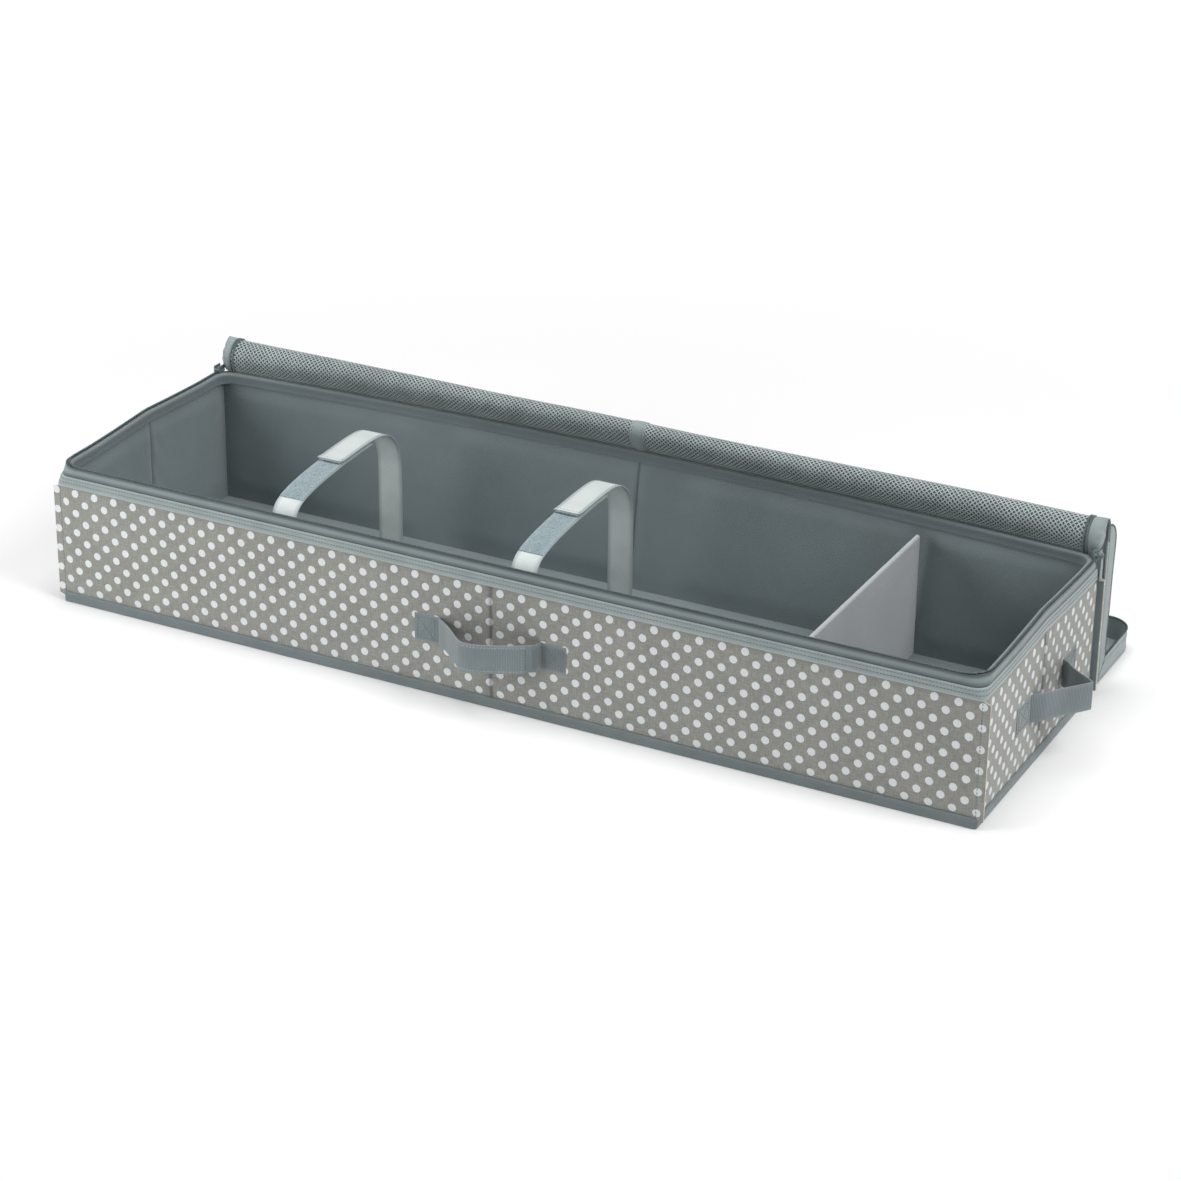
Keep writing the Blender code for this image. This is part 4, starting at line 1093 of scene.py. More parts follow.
@dataclass(frozen=True)
class CaseForm:
    """The case's own form: its box, its bowed rear wall, its raised ends and its rounded rim."""

    half_x: float = 0.500
    half_y: float = 0.150
    height: float = 0.150
    rear_lean: float = 0.020
    end_rise: float = 0.0045
    end_rise_reach: float = 0.105
    band_low: float = 0.1297
    rim_corner: float = 0.021
    low_corner: float = 0.0015
    ledge: float = 0.1507
    fold_y: float = 0.004
    least_corner: float = 0.0004
    run_trim: float = 0.02
    turn_run: float = 0.016
    long_cells: int = 160
    short_cells: int = 56
    turn_cells: int = 8

    def lean(self, x: float, z: float) -> float:
        """Gives how far the rear wall is bowed back at this place."""
        return self.rear_lean * (1 - (x / self.half_x) ** 2) * z / self.height

    def rise(self, x: float, y: float, z: float) -> float:
        """Gives how far the end walls' folds push the rim up at this place."""
        near_end = ease(abs(x), self.half_x - 0.045, self.half_x - 0.008)
        fold = max(0.0, 1 - math.hypot(y - self.fold_y, 0.006) / self.end_rise_reach)
        return self.end_rise * near_end * fold**1.4 * ease(z, 0.050, 0.140)

    def corner(self, z: float) -> float:
        """Gives the radius of the corners at a height: square below the rim's band, round above."""
        share = min(1.0, max(0.0, (z - self.band_low) / (self.ledge - self.band_low)))
        return self.low_corner + (self.rim_corner - self.low_corner) * share

    def legs(self) -> list[int]:
        """Lists the number of cells in each stretch around the walls, from the front left corner."""
        return [self.long_cells, self.turn_cells, self.short_cells, self.turn_cells] * 2

    def round_point(self, step: int, outset: float, radius: float, z: float) -> Vector:
        """Gives a point of a loop around the walls.

        Args:
            step: The point's number along the loop, anticlockwise from the front left corner.
            outset: How far the loop runs outside the case.
            radius: The radius of its corners.
            z: Its height.

        Returns:
            The point, with the rear wall's bow and the ends' rise in it.
        """
        radius = max(radius, self.least_corner)
        x = self.half_x + outset - radius
        y = self.half_y + outset - radius
        legs = self.legs()
        step %= sum(legs)
        leg = 0
        while step >= legs[leg]:
            step -= legs[leg]
            leg += 1
        share = step / legs[leg]
        quarter, turning = divmod(leg, 2)
        centre = ((x, -y), (x, y), (-x, y), (-x, -y))[quarter]
        if turning:
            angle = (quarter - 1 + share) * math.pi / 2
            place = (centre[0] + radius * math.cos(angle), centre[1] + radius * math.sin(angle))
        else:
            angle = (quarter - 1) * math.pi / 2
            before = ((-x, -y), (x, -y), (x, y), (-x, y))[quarter]
            place = tuple(a + (b - a) * share for a, b in zip(before, centre))
            place = (place[0] + radius * math.cos(angle), place[1] + radius * math.sin(angle))
        back = self.lean(place[0], z) if place[1] > 0 else 0.0
        return Vector((place[0], place[1] + back, z + self.rise(place[0], place[1], z)))

    def round_run(self, step: int) -> float:
        """Gives about how far along the cloth a loop's point is."""
        trim, turn = self.run_trim, self.turn_run
        lengths = [2 * self.half_x - trim, turn, 2 * self.half_y - trim, turn] * 2
        run = 0.0
        for cells, length in zip(self.legs(), lengths):
            if step <= cells:
                return run + length * step / cells
            step -= cells
            run += length
        return run

    def loop_line(self, outset: float, z: float, radius: float | None = None) -> Line:
        """Lists a whole loop around the walls, closed."""
        corner = self.corner(z) if radius is None else radius
        return [self.round_point(step, outset, corner + max(outset, 0.0), z) for step in range(sum(self.legs()) + 1)]

    def around(self, profile: Profile, worn: Sequence[float] | None = None, radii: Sequence[float] | None = None,
               closed: bool = False) -> Cut:
        """Draws a profile around the walls.

        Args:
            profile: The profile's points, each with its outset and height.
            worn: How worn the cloth is at each of them; below 0 it is darkened as painted shade.
            radii: The corner radius at each, where it isn't the rim's own.
            closed: Whether the profile ends where it starts.

        Returns:
            The cut.
        """
        rows = [*profile, profile[0]] if closed else list(profile)
        total = sum(self.legs())
        runs = [0.0]
        for (a, b), (c, d) in zip(rows, rows[1:]):
            runs.append(runs[-1] + math.hypot(c - a, d - b))

        def spot(u: float, v: float) -> Spot:
            step = round(u * total)
            row = round(v * (len(rows) - 1))
            outset, z = rows[row]
            radius = radii[row % len(profile)] if radii else self.corner(z)
            place = self.round_point(step, outset, radius + outset, z)
            return Spot(place, (self.round_run(step), runs[row]), worn[row % len(profile)] if worn else 0.0)

        return Cut().patch(total, len(rows) - 1, spot)


FORM = CaseForm()


@dataclass
class Covers:
    """The dotted cloth on the four walls, its sewn corners, and the plain cloth under the base."""

    thickness: float = 0.0010
    low: float = 0.0013
    high: float = 0.1345
    flange: float = 0.0073
    flange_low: float = 0.0085
    flange_high: float = 0.1275
    fold_x: tuple[float, ...] = (-0.140, 0.210, -0.305)
    swell: float = 0.0011
    end_lattice: float = 0.0208
    end_dot: tuple[float, float] = (-0.1400, 0.1110)
    cells_high: int = 54
    long_size: tuple[float, float] = (1.0, 0.149)
    short_size: tuple[float, float] = (0.2974, 0.149)
    base_size: tuple[float, float] = (1.0, 0.3)
    base_thickness: float = 0.0006
    layer_inset: float = 0.0012

    def relief(self, a: float, z: float, crease: float, seed: float) -> float:
        """Gives how far the cloth stands off its board.

        Args:
            a: The place along the wall.
            z: The height.
            crease: The place of the wall's fold.
            seed: Which wall it is.

        Returns:
            The distance, from 0 outwards.
        """
        gone = ease(z, 0.009, 0.024) * (1 - ease(z, 0.122, 0.134))
        groove = dip(a, crease + 0.0006 * math.sin(z * 90), 0.0022)
        folds = sum(dip(a, place + 0.02 * (z - 0.07), 0.0035) for place in self.fold_x)
        pucker = 0.0003 * dip(a, crease, 0.030) * math.sin((abs(a - crease) - 0.4 * z) * 420)
        soft = ripple(a * 12, z * 16, seed) * 0.8 + ripple(a * 48 + z * 20, z * 26, seed + 5) * 0.25
        return gone * (self.swell * (0.45 + soft) * (1 - groove) + pucker - 0.00025 * folds + 0.00030)

    def half_width(self, z: float, half: float, flange: float) -> float:
        """Gives half the width of a panel at a height: wider between the notches, and clipped at the rim."""
        if self.flange_low < z < self.flange_high:
            return half + flange
        return half - (FORM.corner(z) - FORM.low_corner if z > FORM.band_low else 0.0)

    def panel(self, face: Face) -> Cut:
        """Cuts one wall's panel."""
        long, sign = face.long, face.sign
        half = FORM.half_x if long else FORM.half_y - 0.0006
        flange = self.flange if long else 0.0
        crease = 0.0 if long else FORM.fold_y
        stretch = 1.0 if long else FINISHES[Stuff.DOTTED].lattice[0] / self.end_lattice
        first = FINISHES[Stuff.DOTTED].first_dot
        seed = {Face.FRONT: 3.1, Face.REAR: 7.7, Face.LEFT: 12.3, Face.RIGHT: 18.9}[face]

        def spot(u: float, v: float) -> Spot:
            z = self.low + (self.high - self.low) * v
            a = self.half_width(z, half, flange) * gathered(u, 0.0 if long else crease / half)
            out = self.relief(a, z, crease, seed) * (ease(half - abs(a), 0.0, 0.012) if abs(a) < half else 0.0)
            # Rubbed paler at the panel's sides, and darkened down the fold as painted shade.
            worn = 0.25 * dip(abs(a), half, 0.004) - 0.9 * dip(a, crease, 0.0016) - 0.3 * dip(a, crease, 0.008)
            if long:
                y = sign * (FORM.half_y + out) + (FORM.lean(a, z) if sign > 0 and abs(a) < half else 0.0)
                flare = max(0.0, abs(a) - half) / max(flange, 1e-9)
                y += sign * flare * 0.0006 * (ripple(z * 30, a, seed) - 0.3)
                return Spot(Vector((a, y, z)), (-sign * a, z), worn)
            place = Vector((sign * (FORM.half_x + out), a, z + FORM.rise(FORM.half_x, a, z)))
            flat = (first[0] + (sign * a - self.end_dot[0]) * stretch, z + first[1] - self.end_dot[1])
            return Spot(place, flat, worn)

        return Cut().patch(240 if long else 84, self.cells_high, spot)

    def flange_layer(self, side: Side, sign: int) -> Cut:
        """Cuts the inner layer of a sewn corner, turned out from the end panel."""
        low, high = self.flange_low + self.layer_inset, self.flange_high - self.layer_inset

        def spot(u: float, v: float) -> Spot:
            z = low + (high - low) * v
            reach = FORM.half_x - 0.001 + (self.flange + 0.0004 + 0.0006 * ripple(z * 90, 2.0, sign)) * u
            y = sign * (FORM.half_y - 0.0014 + 0.0004 * u * (ripple(z * 40, 7.0, side.value) - 0.6))
            return Spot(Vector((side.value * reach, y, z)), (reach, z), u**4)

        return Cut().patch(4, 60, spot)

    def build(self) -> None:
        """Builds the panels, the sewn corners and the base's cloth."""
        for face in Face:
            cover = self.panel(face).fit(f"{face.value}_cloth", [Stuff.DOTTED, Stuff.SEAM], CASE,
                                         [f"{face.value}_cover"], self.thickness, -1.0)
        for side in Side:
            for word, sign in (("front", -1), ("rear", 1)):
                corner = f"{word}_{side.word}"
                self.flange_layer(side, sign).fit(f"corner_layer_{corner}", [Trim.FACING, Stuff.SEAM], CASE,
                                                  [f"corner_seam_{corner}"], self.thickness)
        self.sew()
        self.base()

    def sew(self) -> None:
        """Sews the stitch rows down the four corners."""
        rows = []
        for side in Side:
            for sign in (-1, 1):
                x = side.value * (FORM.half_x - 0.0004)
                y = sign * (FORM.half_y + 0.0003)
                rows.append([Vector((x, y, self.flange_low + 0.001)), Vector((x, y, self.flange_high - 0.001))])
        sew("corner_stitches", rows, CORNER)

    def base(self) -> None:
        """Builds the cloth under the base."""

        def spot(u: float, v: float) -> Spot:
            x = (FORM.half_x + 0.0002) * (2 * u - 1)
            y = (FORM.half_y + 0.0002) * (2 * v - 1)
            z = 0.0003 + 0.0003 * ripple(x * 9, y * 11, 4.0)
            return Spot(Vector((x, y, z)), (x, y), 0.0)

        cloth = Cut().patch(80, 28, spot).fit("base_cloth", [Stuff.BASE], CASE, ["base_cover"],
                                              self.base_thickness, 1.0)


@dataclass
class Rim:
    """The sewn band, the zip tape and the coil around the top, and the binding around the bottom."""

    band: Profile = ((0.0004, 0.1302), (0.0014, 0.1298), (0.0020, 0.1304), (0.0023, 0.1322), (0.0024, 0.1338),
                     (0.0020, 0.1350), (0.0023, 0.1362), (0.0024, 0.1378), (0.0020, 0.1392), (0.0022, 0.1402),
                     (0.0019, 0.1411), (0.0012, 0.1416), (0.0005, 0.1413), (0.0002, 0.1380), (0.0002, 0.1340))
    band_wear: Sequence[float] = (0.2, 0.6, 0.8, 0.4, 0.1, 0.0, 0.1, 0.1, 0.0, 0.3, 0.8, 0.9, 0.4, 0.0, 0.0)
    zip_tape: Profile = ((0.0009, 0.1392), (0.0008, 0.1415), (0.0010, 0.1440), (0.0010, 0.1465), (0.0008, 0.1488),
                         (0.0009, 0.1504), (0.0009, 0.1518), (0.0006, 0.1525), (0.0003, 0.1520), (0.0000, 0.1511),
                         (-0.0014, 0.1508), (-0.0030, 0.1507), (-0.0046, 0.1507))
    # Painted shade in the groove above the band and over the tape's top and inner side, with a paler stripe between.
    zip_tape_wear: Sequence[float] = (0.0, -1.0, -0.2, 0.7, 0.8, -0.3, -0.9, -0.9, -0.9, -0.6, -0.5, -0.5, -0.5)
    inner_band: Profile = ((-0.0026, 0.1510), (-0.0042, 0.15105), (-0.0052, 0.1509), (-0.0060, 0.1503),
                           (-0.0063, 0.1490), (-0.0062, 0.1475), (-0.0059, 0.1455), (-0.0058, 0.1436),
                           (-0.0059, 0.1418), (-0.0058, 0.1400))
    inner_band_wear: Sequence[float] = (0.2, 0.5, 0.7, 0.5, 0.1, 0.0, 0.0, 0.1, 0.4, 0.8)
    binding: Profile = ((0.0001, 0.0002), (0.0009, 0.0001), (0.0016, 0.0006), (0.0019, 0.0026), (0.0018, 0.0054),
                        (0.0019, 0.0083), (0.0018, 0.0103), (0.0012, 0.0111), (0.0004, 0.0108), (0.0001, 0.0060))
    binding_wear: Sequence[float] = (0.5, 0.9, 0.6, 0.2, 0.0, 0.2, 0.6, 0.9, 0.4, 0.0)
    stitch_rows: Profile = ((0.0021, 0.1350), (0.0021, 0.1392))
    thread_lift: float = 0.0001
    binding_row: tuple[float, float] = (0.0019, 0.0092)
    inner_row: tuple[float, float] = (-0.0063, 0.1416)
    inner_corner: float = 0.0205
    tape_thickness: float = 0.0005
    coil_z: float = 0.1527
    coil_radius: float = 0.0013
    coil_inset: float = 0.0010
    coil_corner: float = 0.025
    coil_stop: float = 0.1485
    coil_step: float = 0.004
    turn_steps: int = 12

    def coil_line(self) -> Line:
        """Lists the line of the rim's coil, from one rear corner around the front to the other."""
        x, y = FORM.half_x - self.coil_inset, FORM.half_y - self.coil_inset
        turn = self.coil_corner
        steps = int((self.coil_stop + y - turn) / self.coil_step)
        plan = [(-x, self.coil_stop - self.coil_step * step) for step in range(steps)]
        for centre, start in (((-x + turn, -y + turn), 2), ((x - turn, -y + turn), 3)):
            for step in range(self.turn_steps + 1):
                angle = (start + step / self.turn_steps) * math.pi / 2
                plan.append((centre[0] + turn * math.cos(angle), centre[1] + turn * math.sin(angle)))
        plan += [(x, -y + turn + self.coil_step * step) for step in range(1, steps)]
        plan.append((x, self.coil_stop))
        return [Vector((px, py, self.coil_z + FORM.rise(px, py, self.coil_z))) for px, py in plan]

    def build(self) -> None:
        """Builds the band, the tape, the coil, the binding and their stitches."""
        thin = self.tape_thickness
        FORM.around(self.band, self.band_wear, closed=True).fit("rim_band", [Stuff.TAPE], CASE, ["rim_tape"])
        radii = [FORM.corner(z) if outset > -0.002 else self.inner_corner for outset, z in self.zip_tape]
        tape = FORM.around(self.zip_tape, self.zip_tape_wear, radii)
        tape.fit("rim_zip_tape", [Trim.ZIP_TAPE], thickness=thin, offset=-1.0)
        facing = FORM.around(self.inner_band, self.inner_band_wear, [self.inner_corner] * len(self.inner_band))
        facing.fit("rim_inner_band", [Trim.FACING], thickness=thin)
        square = [FORM.low_corner] * len(self.binding)
        binding = FORM.around(self.binding, self.binding_wear, square, True)
        binding.fit("bottom_binding", [Trim.BINDING], CASE, ["base_binding"])
        wind("rim_coil", [self.coil_line()], self.coil_radius, CASE, ["rim_zip_coil"])
        rows = [FORM.loop_line(outset + self.thread_lift, z) for outset, z in self.stitch_rows]
        sew("rim_stitches", rows, BAND)
        sew("binding_stitches", [FORM.loop_line(*self.binding_row, FORM.low_corner)], WIDE)
        sew("inner_band_stitches", [FORM.loop_line(*self.inner_row, self.inner_corner)], WIDE)


@dataclass
class Lining:
    """The lining: a loose cloth tray inside the boards, creased where the case folds."""

    inset: float = 0.0045
    floor_z: float = 0.0050
    high: float = 0.1496
    thickness: float = 0.0008
    swell: float = 0.0032
    cells_long: int = 220
    cells_short: int = 72
    cells_high: int = 44
    strap_x: tuple[float, ...] = (-0.236, 0.031)
    divider_x: float = 0.315
    seam_inset: float = 0.0035
    seam_low: float = 0.008
    seam_high: float = 0.131

    @property
    def halves(self) -> tuple[float, float]:
        """Gives half the tray's length and half its depth."""
        return FORM.half_x - self.inset, FORM.half_y - self.inset

    def loose(self, x: float) -> float:
        """Gives 0 where a strap or the divider presses the lining down, and 1 away from them."""
        free = min([abs(x - place) for place in self.strap_x] + [abs(x - self.divider_x) + 0.012])
        return ease(free, 0.016, 0.034)

    def wall_swell(self, a: float, z: float, crease: float, seed: float) -> float:
        """Gives how far the lining stands into the case, from its board."""
        gone = ease(z, 0.006, 0.030) * (1 - ease(z, 0.122, 0.142))
        groove = 1 - 0.96 * dip(a, crease, 0.0024)
        broad = ripple(a * 6, z * 9, seed) * 0.9 + ripple(a * 17 - z * 14, z * 10 + a * 6, seed + 3) * 0.5
        fine = ripple(a * 60 + z * 30, z * 26, seed + 6) * 0.16
        pucker = 0.10 * dip(a, crease, 0.028) * math.sin((abs(a - crease) + 0.6 * z) * 300)
        return self.swell * gone * groove * (0.12 + broad + fine + pucker) * 0.8

    def crease_tone(self, a: float, crease: float) -> float:
        """Gives how the lining's tone changes at a wall's fold: painted shade in it, rubbed pale beside it."""
        return 0.3 * dip(abs(a - crease), 0.006, 0.003) - 0.9 * dip(a, crease, 0.0015)

    def wall(self, cut: Cut, face: Face) -> None:
        """Adds one wall's lining to the cut."""
        long, sign = face.long, face.sign
        half_x, half_y = self.halves
        half, crease = (half_x, 0.0) if long else (half_y, FORM.fold_y)
        seed = {Face.FRONT: 23.0, Face.REAR: 31.0, Face.LEFT: 41.0, Face.RIGHT: 53.0}[face]

        def spot(u: float, v: float) -> Spot:
            z = self.floor_z + (self.high - self.floor_z) * v
            clip = 0.0040 * ease(z, 0.130, self.high)
            a = half * gathered(u, crease / half)
            near = ease(half - abs(a), 0.0, 0.02)
            swell = self.wall_swell(a, z, crease, seed) * near * (self.loose(a) if long else 1.0)
            a -= math.copysign(clip * (1 - near), a)
            flat, tone = (a + seed, z), self.crease_tone(a, crease)
            if long:
                y = sign * (half_y - swell - clip * (1 - near))
                back = FORM.lean(a, z) - FORM.lean(a, self.floor_z) if sign > 0 else 0.0
                return Spot(Vector((a, y + back, z)), flat, tone)
            x = sign * (half_x - swell - clip * (1 - near))
            return Spot(Vector((x, a, z + FORM.rise(FORM.half_x, a, z))), flat, tone)

        cut.patch(self.cells_long if long else self.cells_short, self.cells_high, spot)

    def build(self) -> None:
        """Builds the tray and its seams."""
        half_x, half_y = self.halves

        def floor(u: float, v: float) -> Spot:
            x, y = half_x * (2 * u - 1), half_y * (2 * v - 1)
            edge = ease(min(half_x - abs(x), half_y - abs(y)), 0.0, 0.02)
            fold = 1 - dip(x, 0.0, 0.006)
            z = self.floor_z + 0.0016 * edge * fold * self.loose(x) * ripple(x * 7, y * 9, 61.0)
            return Spot(Vector((x, y, z)), (x, y), 0.0)

        cut = Cut().patch(self.cells_long, self.cells_short, floor)
        for face in Face:
            self.wall(cut, face)
        tray = cut.fit("lining_tray", [Stuff.LINING], CASE, ["lining"], self.thickness, sharp=60.0)
        self.sew()

    def sew(self) -> None:
        """Sews the rows where the lining's walls meet and down its folds."""
        half_x, half_y = (half - 0.0006 for half in self.halves)
        rows = []
        for side in Side:
            for sign in (-1, 1):
                for back, along in ((self.seam_inset, 0.0), (0.0, self.seam_inset)):
                    x, y = side.value * (half_x - back), sign * (half_y - along)
                    rows.append([Vector((x, y, self.seam_low)), Vector((x, y, self.seam_high))])
        for sign in (-1, 1):
            for x in (-0.0030, 0.0030):
                rows.append([Vector((x, sign * half_y + (FORM.lean(x, z) if sign > 0 else 0) - sign * 0.0002, z))
                             for z in (self.seam_low + 0.0102 * step for step in range(13))])
        sew("lining_stitches", rows, WIDE)


@dataclass
class Divider:
    """The upright divider between rolls and accessories: a cloth sleeve over a card."""

    x: float = 0.315
    half_thick: float = 0.0021
    top: float = 0.1350
    low: float = 0.0060
    half_y: float = 0.1444
    thickness: float = 0.0008
    crown: float = 0.0022
    size: tuple[float, float] = (0.2888, 0.258)

    def skin(self, y: float, share: float) -> tuple[float, float]:
        """Gives a point of the sleeve's section.

        Args:
            y: The place along the divider.
            share: The share of the way up one face, over the top and down the other.

        Returns:
            Its place across the divider and its height.
        """
        span = self.top - self.low
        run = share * (2 * span)
        near = ease(self.half_y - abs(y), 0.0, 0.015)
        up = run <= span
        height = run if up else 2 * span - run
        z = self.low + height
        belly = ease(height, 0.0, 0.03) * ease(span - height, 0.0, 0.02) * near
        wide = self.half_thick + 0.0012 * belly * ripple(y * 16, z * 15 + (0 if up else 30), 71.0)
        crown = max(0.0, height - (span - self.crown)) / self.crown
        wide *= math.sqrt(max(0.0, 1 - crown**2)) if crown < 1 else 0.0
        return (wide if up else -wide), z

    def build(self) -> None:
        """Builds the sleeve and its stitches."""

        def spot(u: float, v: float) -> Spot:
            y = self.half_y * (2 * v - 1)
            fine = 0.5 + 0.5 * gathered(u, 0.0, 1.6)
            wide, z = self.skin(y, fine)
            worn = dip(z, self.top, 0.002) * 0.9
            return Spot(Vector((self.x + wide, y, z)), (y, fine * 2 * (self.top - self.low)), worn)

        sleeve = Cut().patch(60, 70, spot).fit("divider_sleeve", [Stuff.DIVIDER], CASE, ["divider_cover"],
                                               self.thickness, sharp=70.0)
        rows = []
        for sign in (-1, 1):
            x = self.x + sign * (self.half_thick + 0.0004)
            rows.append([Vector((x, -self.half_y + 0.006 + 0.0277 * step, self.top - 0.0065)) for step in range(11)])
            for end in (-1, 1):
                y = end * (self.half_y - 0.0055)
                rows.append([Vector((x, y, self.low + 0.004)), Vector((x, y, self.top - 0.0065))])
        sew("divider_stitches", rows, WIDE, kind=Trim.PALE_THREAD)


@dataclass
class Handle:
    """One webbing handle: a loop that flexes, and a sewn patch and stub at each end."""

    face: Face
    base: Vector
    along: Vector
    out: Vector
    gap: float
    reach: float
    patch: float
    shares: Profile
    far_shares: Profile
    ends: tuple[str, str]
    width: float = 0.029
    stand: float = 0.0105
    webbing: float = 0.0018
    near_shares: Profile = ((0.0, 0.0), (0.030, 0.30), (0.130, 1.06))
    grip_start: int = 2
    doubled: bool = False
    samples: int = 8

    def spot(self, share: float, depth: float) -> Vector:
        """Gives a point of the webbing's middle line, from its share of the gap and its depth."""
        return self.base + self.along * self.gap * (share - 0.5) + self.out * (0.0010 + depth)

    def lines(self) -> tuple[Line, Line, Line]:
        """Lists the webbing's line in three parts: the first patch and stub, the loop, the second stub and patch."""
        near = [self.spot(share, part * self.stand) for share, part in self.near_shares]
        loop = [self.spot(share, part * self.reach) for share, part in self.shares]
        far = [self.spot(share, part * self.stand) for share, part in self.far_shares]
        whole = smooth_line([*near, *loop, *far], self.samples)
        first, second = (len(near) - 1) * self.samples, (len(near) + len(loop)) * self.samples
        start = self.spot(0, 0) - self.along * self.patch
        end = self.spot(1, 0) + self.along * self.patch
        near_flat = [start.lerp(whole[0], step / 8) for step in range(8)]
        far_flat = [whole[-1].lerp(end, step / 8) for step in range(1, 9)]
        return [*near_flat, *whole[: first + 1]], whole[first : second + 1], [*whole[second:], *far_flat]

    def strip(self, name: str, line: Line, carrier: Ride | Bend, stands_for: str, offset: float,
              tone: float = 0.0) -> None:
        """Makes a length of webbing along a line.

        Args:
            name: The piece's name.
            line: The line.
            carrier: What it moves with.
            stands_for: The frame's node that it replaces.
            offset: Where it starts on its flat webbing.
            tone: How much darker or paler it is; below 0 it is painted shade.
        """
        cut = Cut().band(line, [UP] * len(line), tape_section(self.width, self.webbing, 8), offset, tone)
        cut.fit(name, [Stuff.WEBBING], carrier, [stands_for])

    def box_stitch(self, centre: Vector, half: float) -> list[Line]:
        """Lists the rows of a sewn square with a cross in it."""
        lift = self.out * (self.webbing / 2 + 0.0001)
        tall = self.width / 2 - 0.0032
        return crossed([centre + self.along * half * a + UP * tall * b + lift
                        for a, b in ((-1, -1), (1, -1), (1, 1), (-1, 1))])

    def build(self) -> None:
        """Builds the loop, the two ends and their stitches."""
        name = f"{self.face.value}_handle"
        near, middle, far = self.lines()
        self.strip(f"{name}_webbing", middle, Ride(name), f"{name}_loop", 0.2)
        rows = []
        lines = ((near, self.spot(0, 0), near[-1], -1), (far, self.spot(1, 0), far[0], 1))
        for word, (line, root, cut, sign) in zip(self.ends, lines):
            start, end = (tuple(self.base + self.along * (spot - self.base).dot(self.along)) for spot in (root, cut))
            # Both ends darker as a painted shadow of the loop over their patches.
            self.strip(f"{name}_{word}_webbing", line, Bend("case", name, start, end), f"{name}_{word}_end",
                       0.5 + 0.2 * sign, -0.28 - 0.14 * sign)
            centre = root + self.along * sign * (self.patch / 2 + 0.0008)
            rows.extend(self.box_stitch(centre, self.patch / 2 - 0.0042))
        sew(f"{name}_stitches", rows, BOXED)
        if self.doubled:
            self.grip(name, middle)

    def grip(self, name: str, line: Line) -> None:
        """Builds the second layer over most of the loop and sews it along its edges."""
        span = line[self.grip_start * self.samples : -self.samples // 2]
        ups = [UP] * len(span)
        face = 1 if self.out.dot(UP.cross(self.along)) > 0 else -1
        outer = lifted(span, ups, 0.0, face * self.webbing * 0.85)
        layer = Cut().band(outer, ups, tape_section(self.width + 0.0008, self.webbing * 0.7, 8))
        layer.fit(f"{name}_grip", [Stuff.WEBBING], Ride(name))
        high = face * self.webbing * 0.35
        rows = [lifted(outer, ups, wide * (self.width / 2 - 0.0022), high) for wide in (-1, 1)]
        rows += [[rows[0][step], rows[1][step]] for step in (1, -2)]
        sew(f"{name}_grip_stitches", rows, GRIP, Ride(name), Trim.PALE_THREAD)


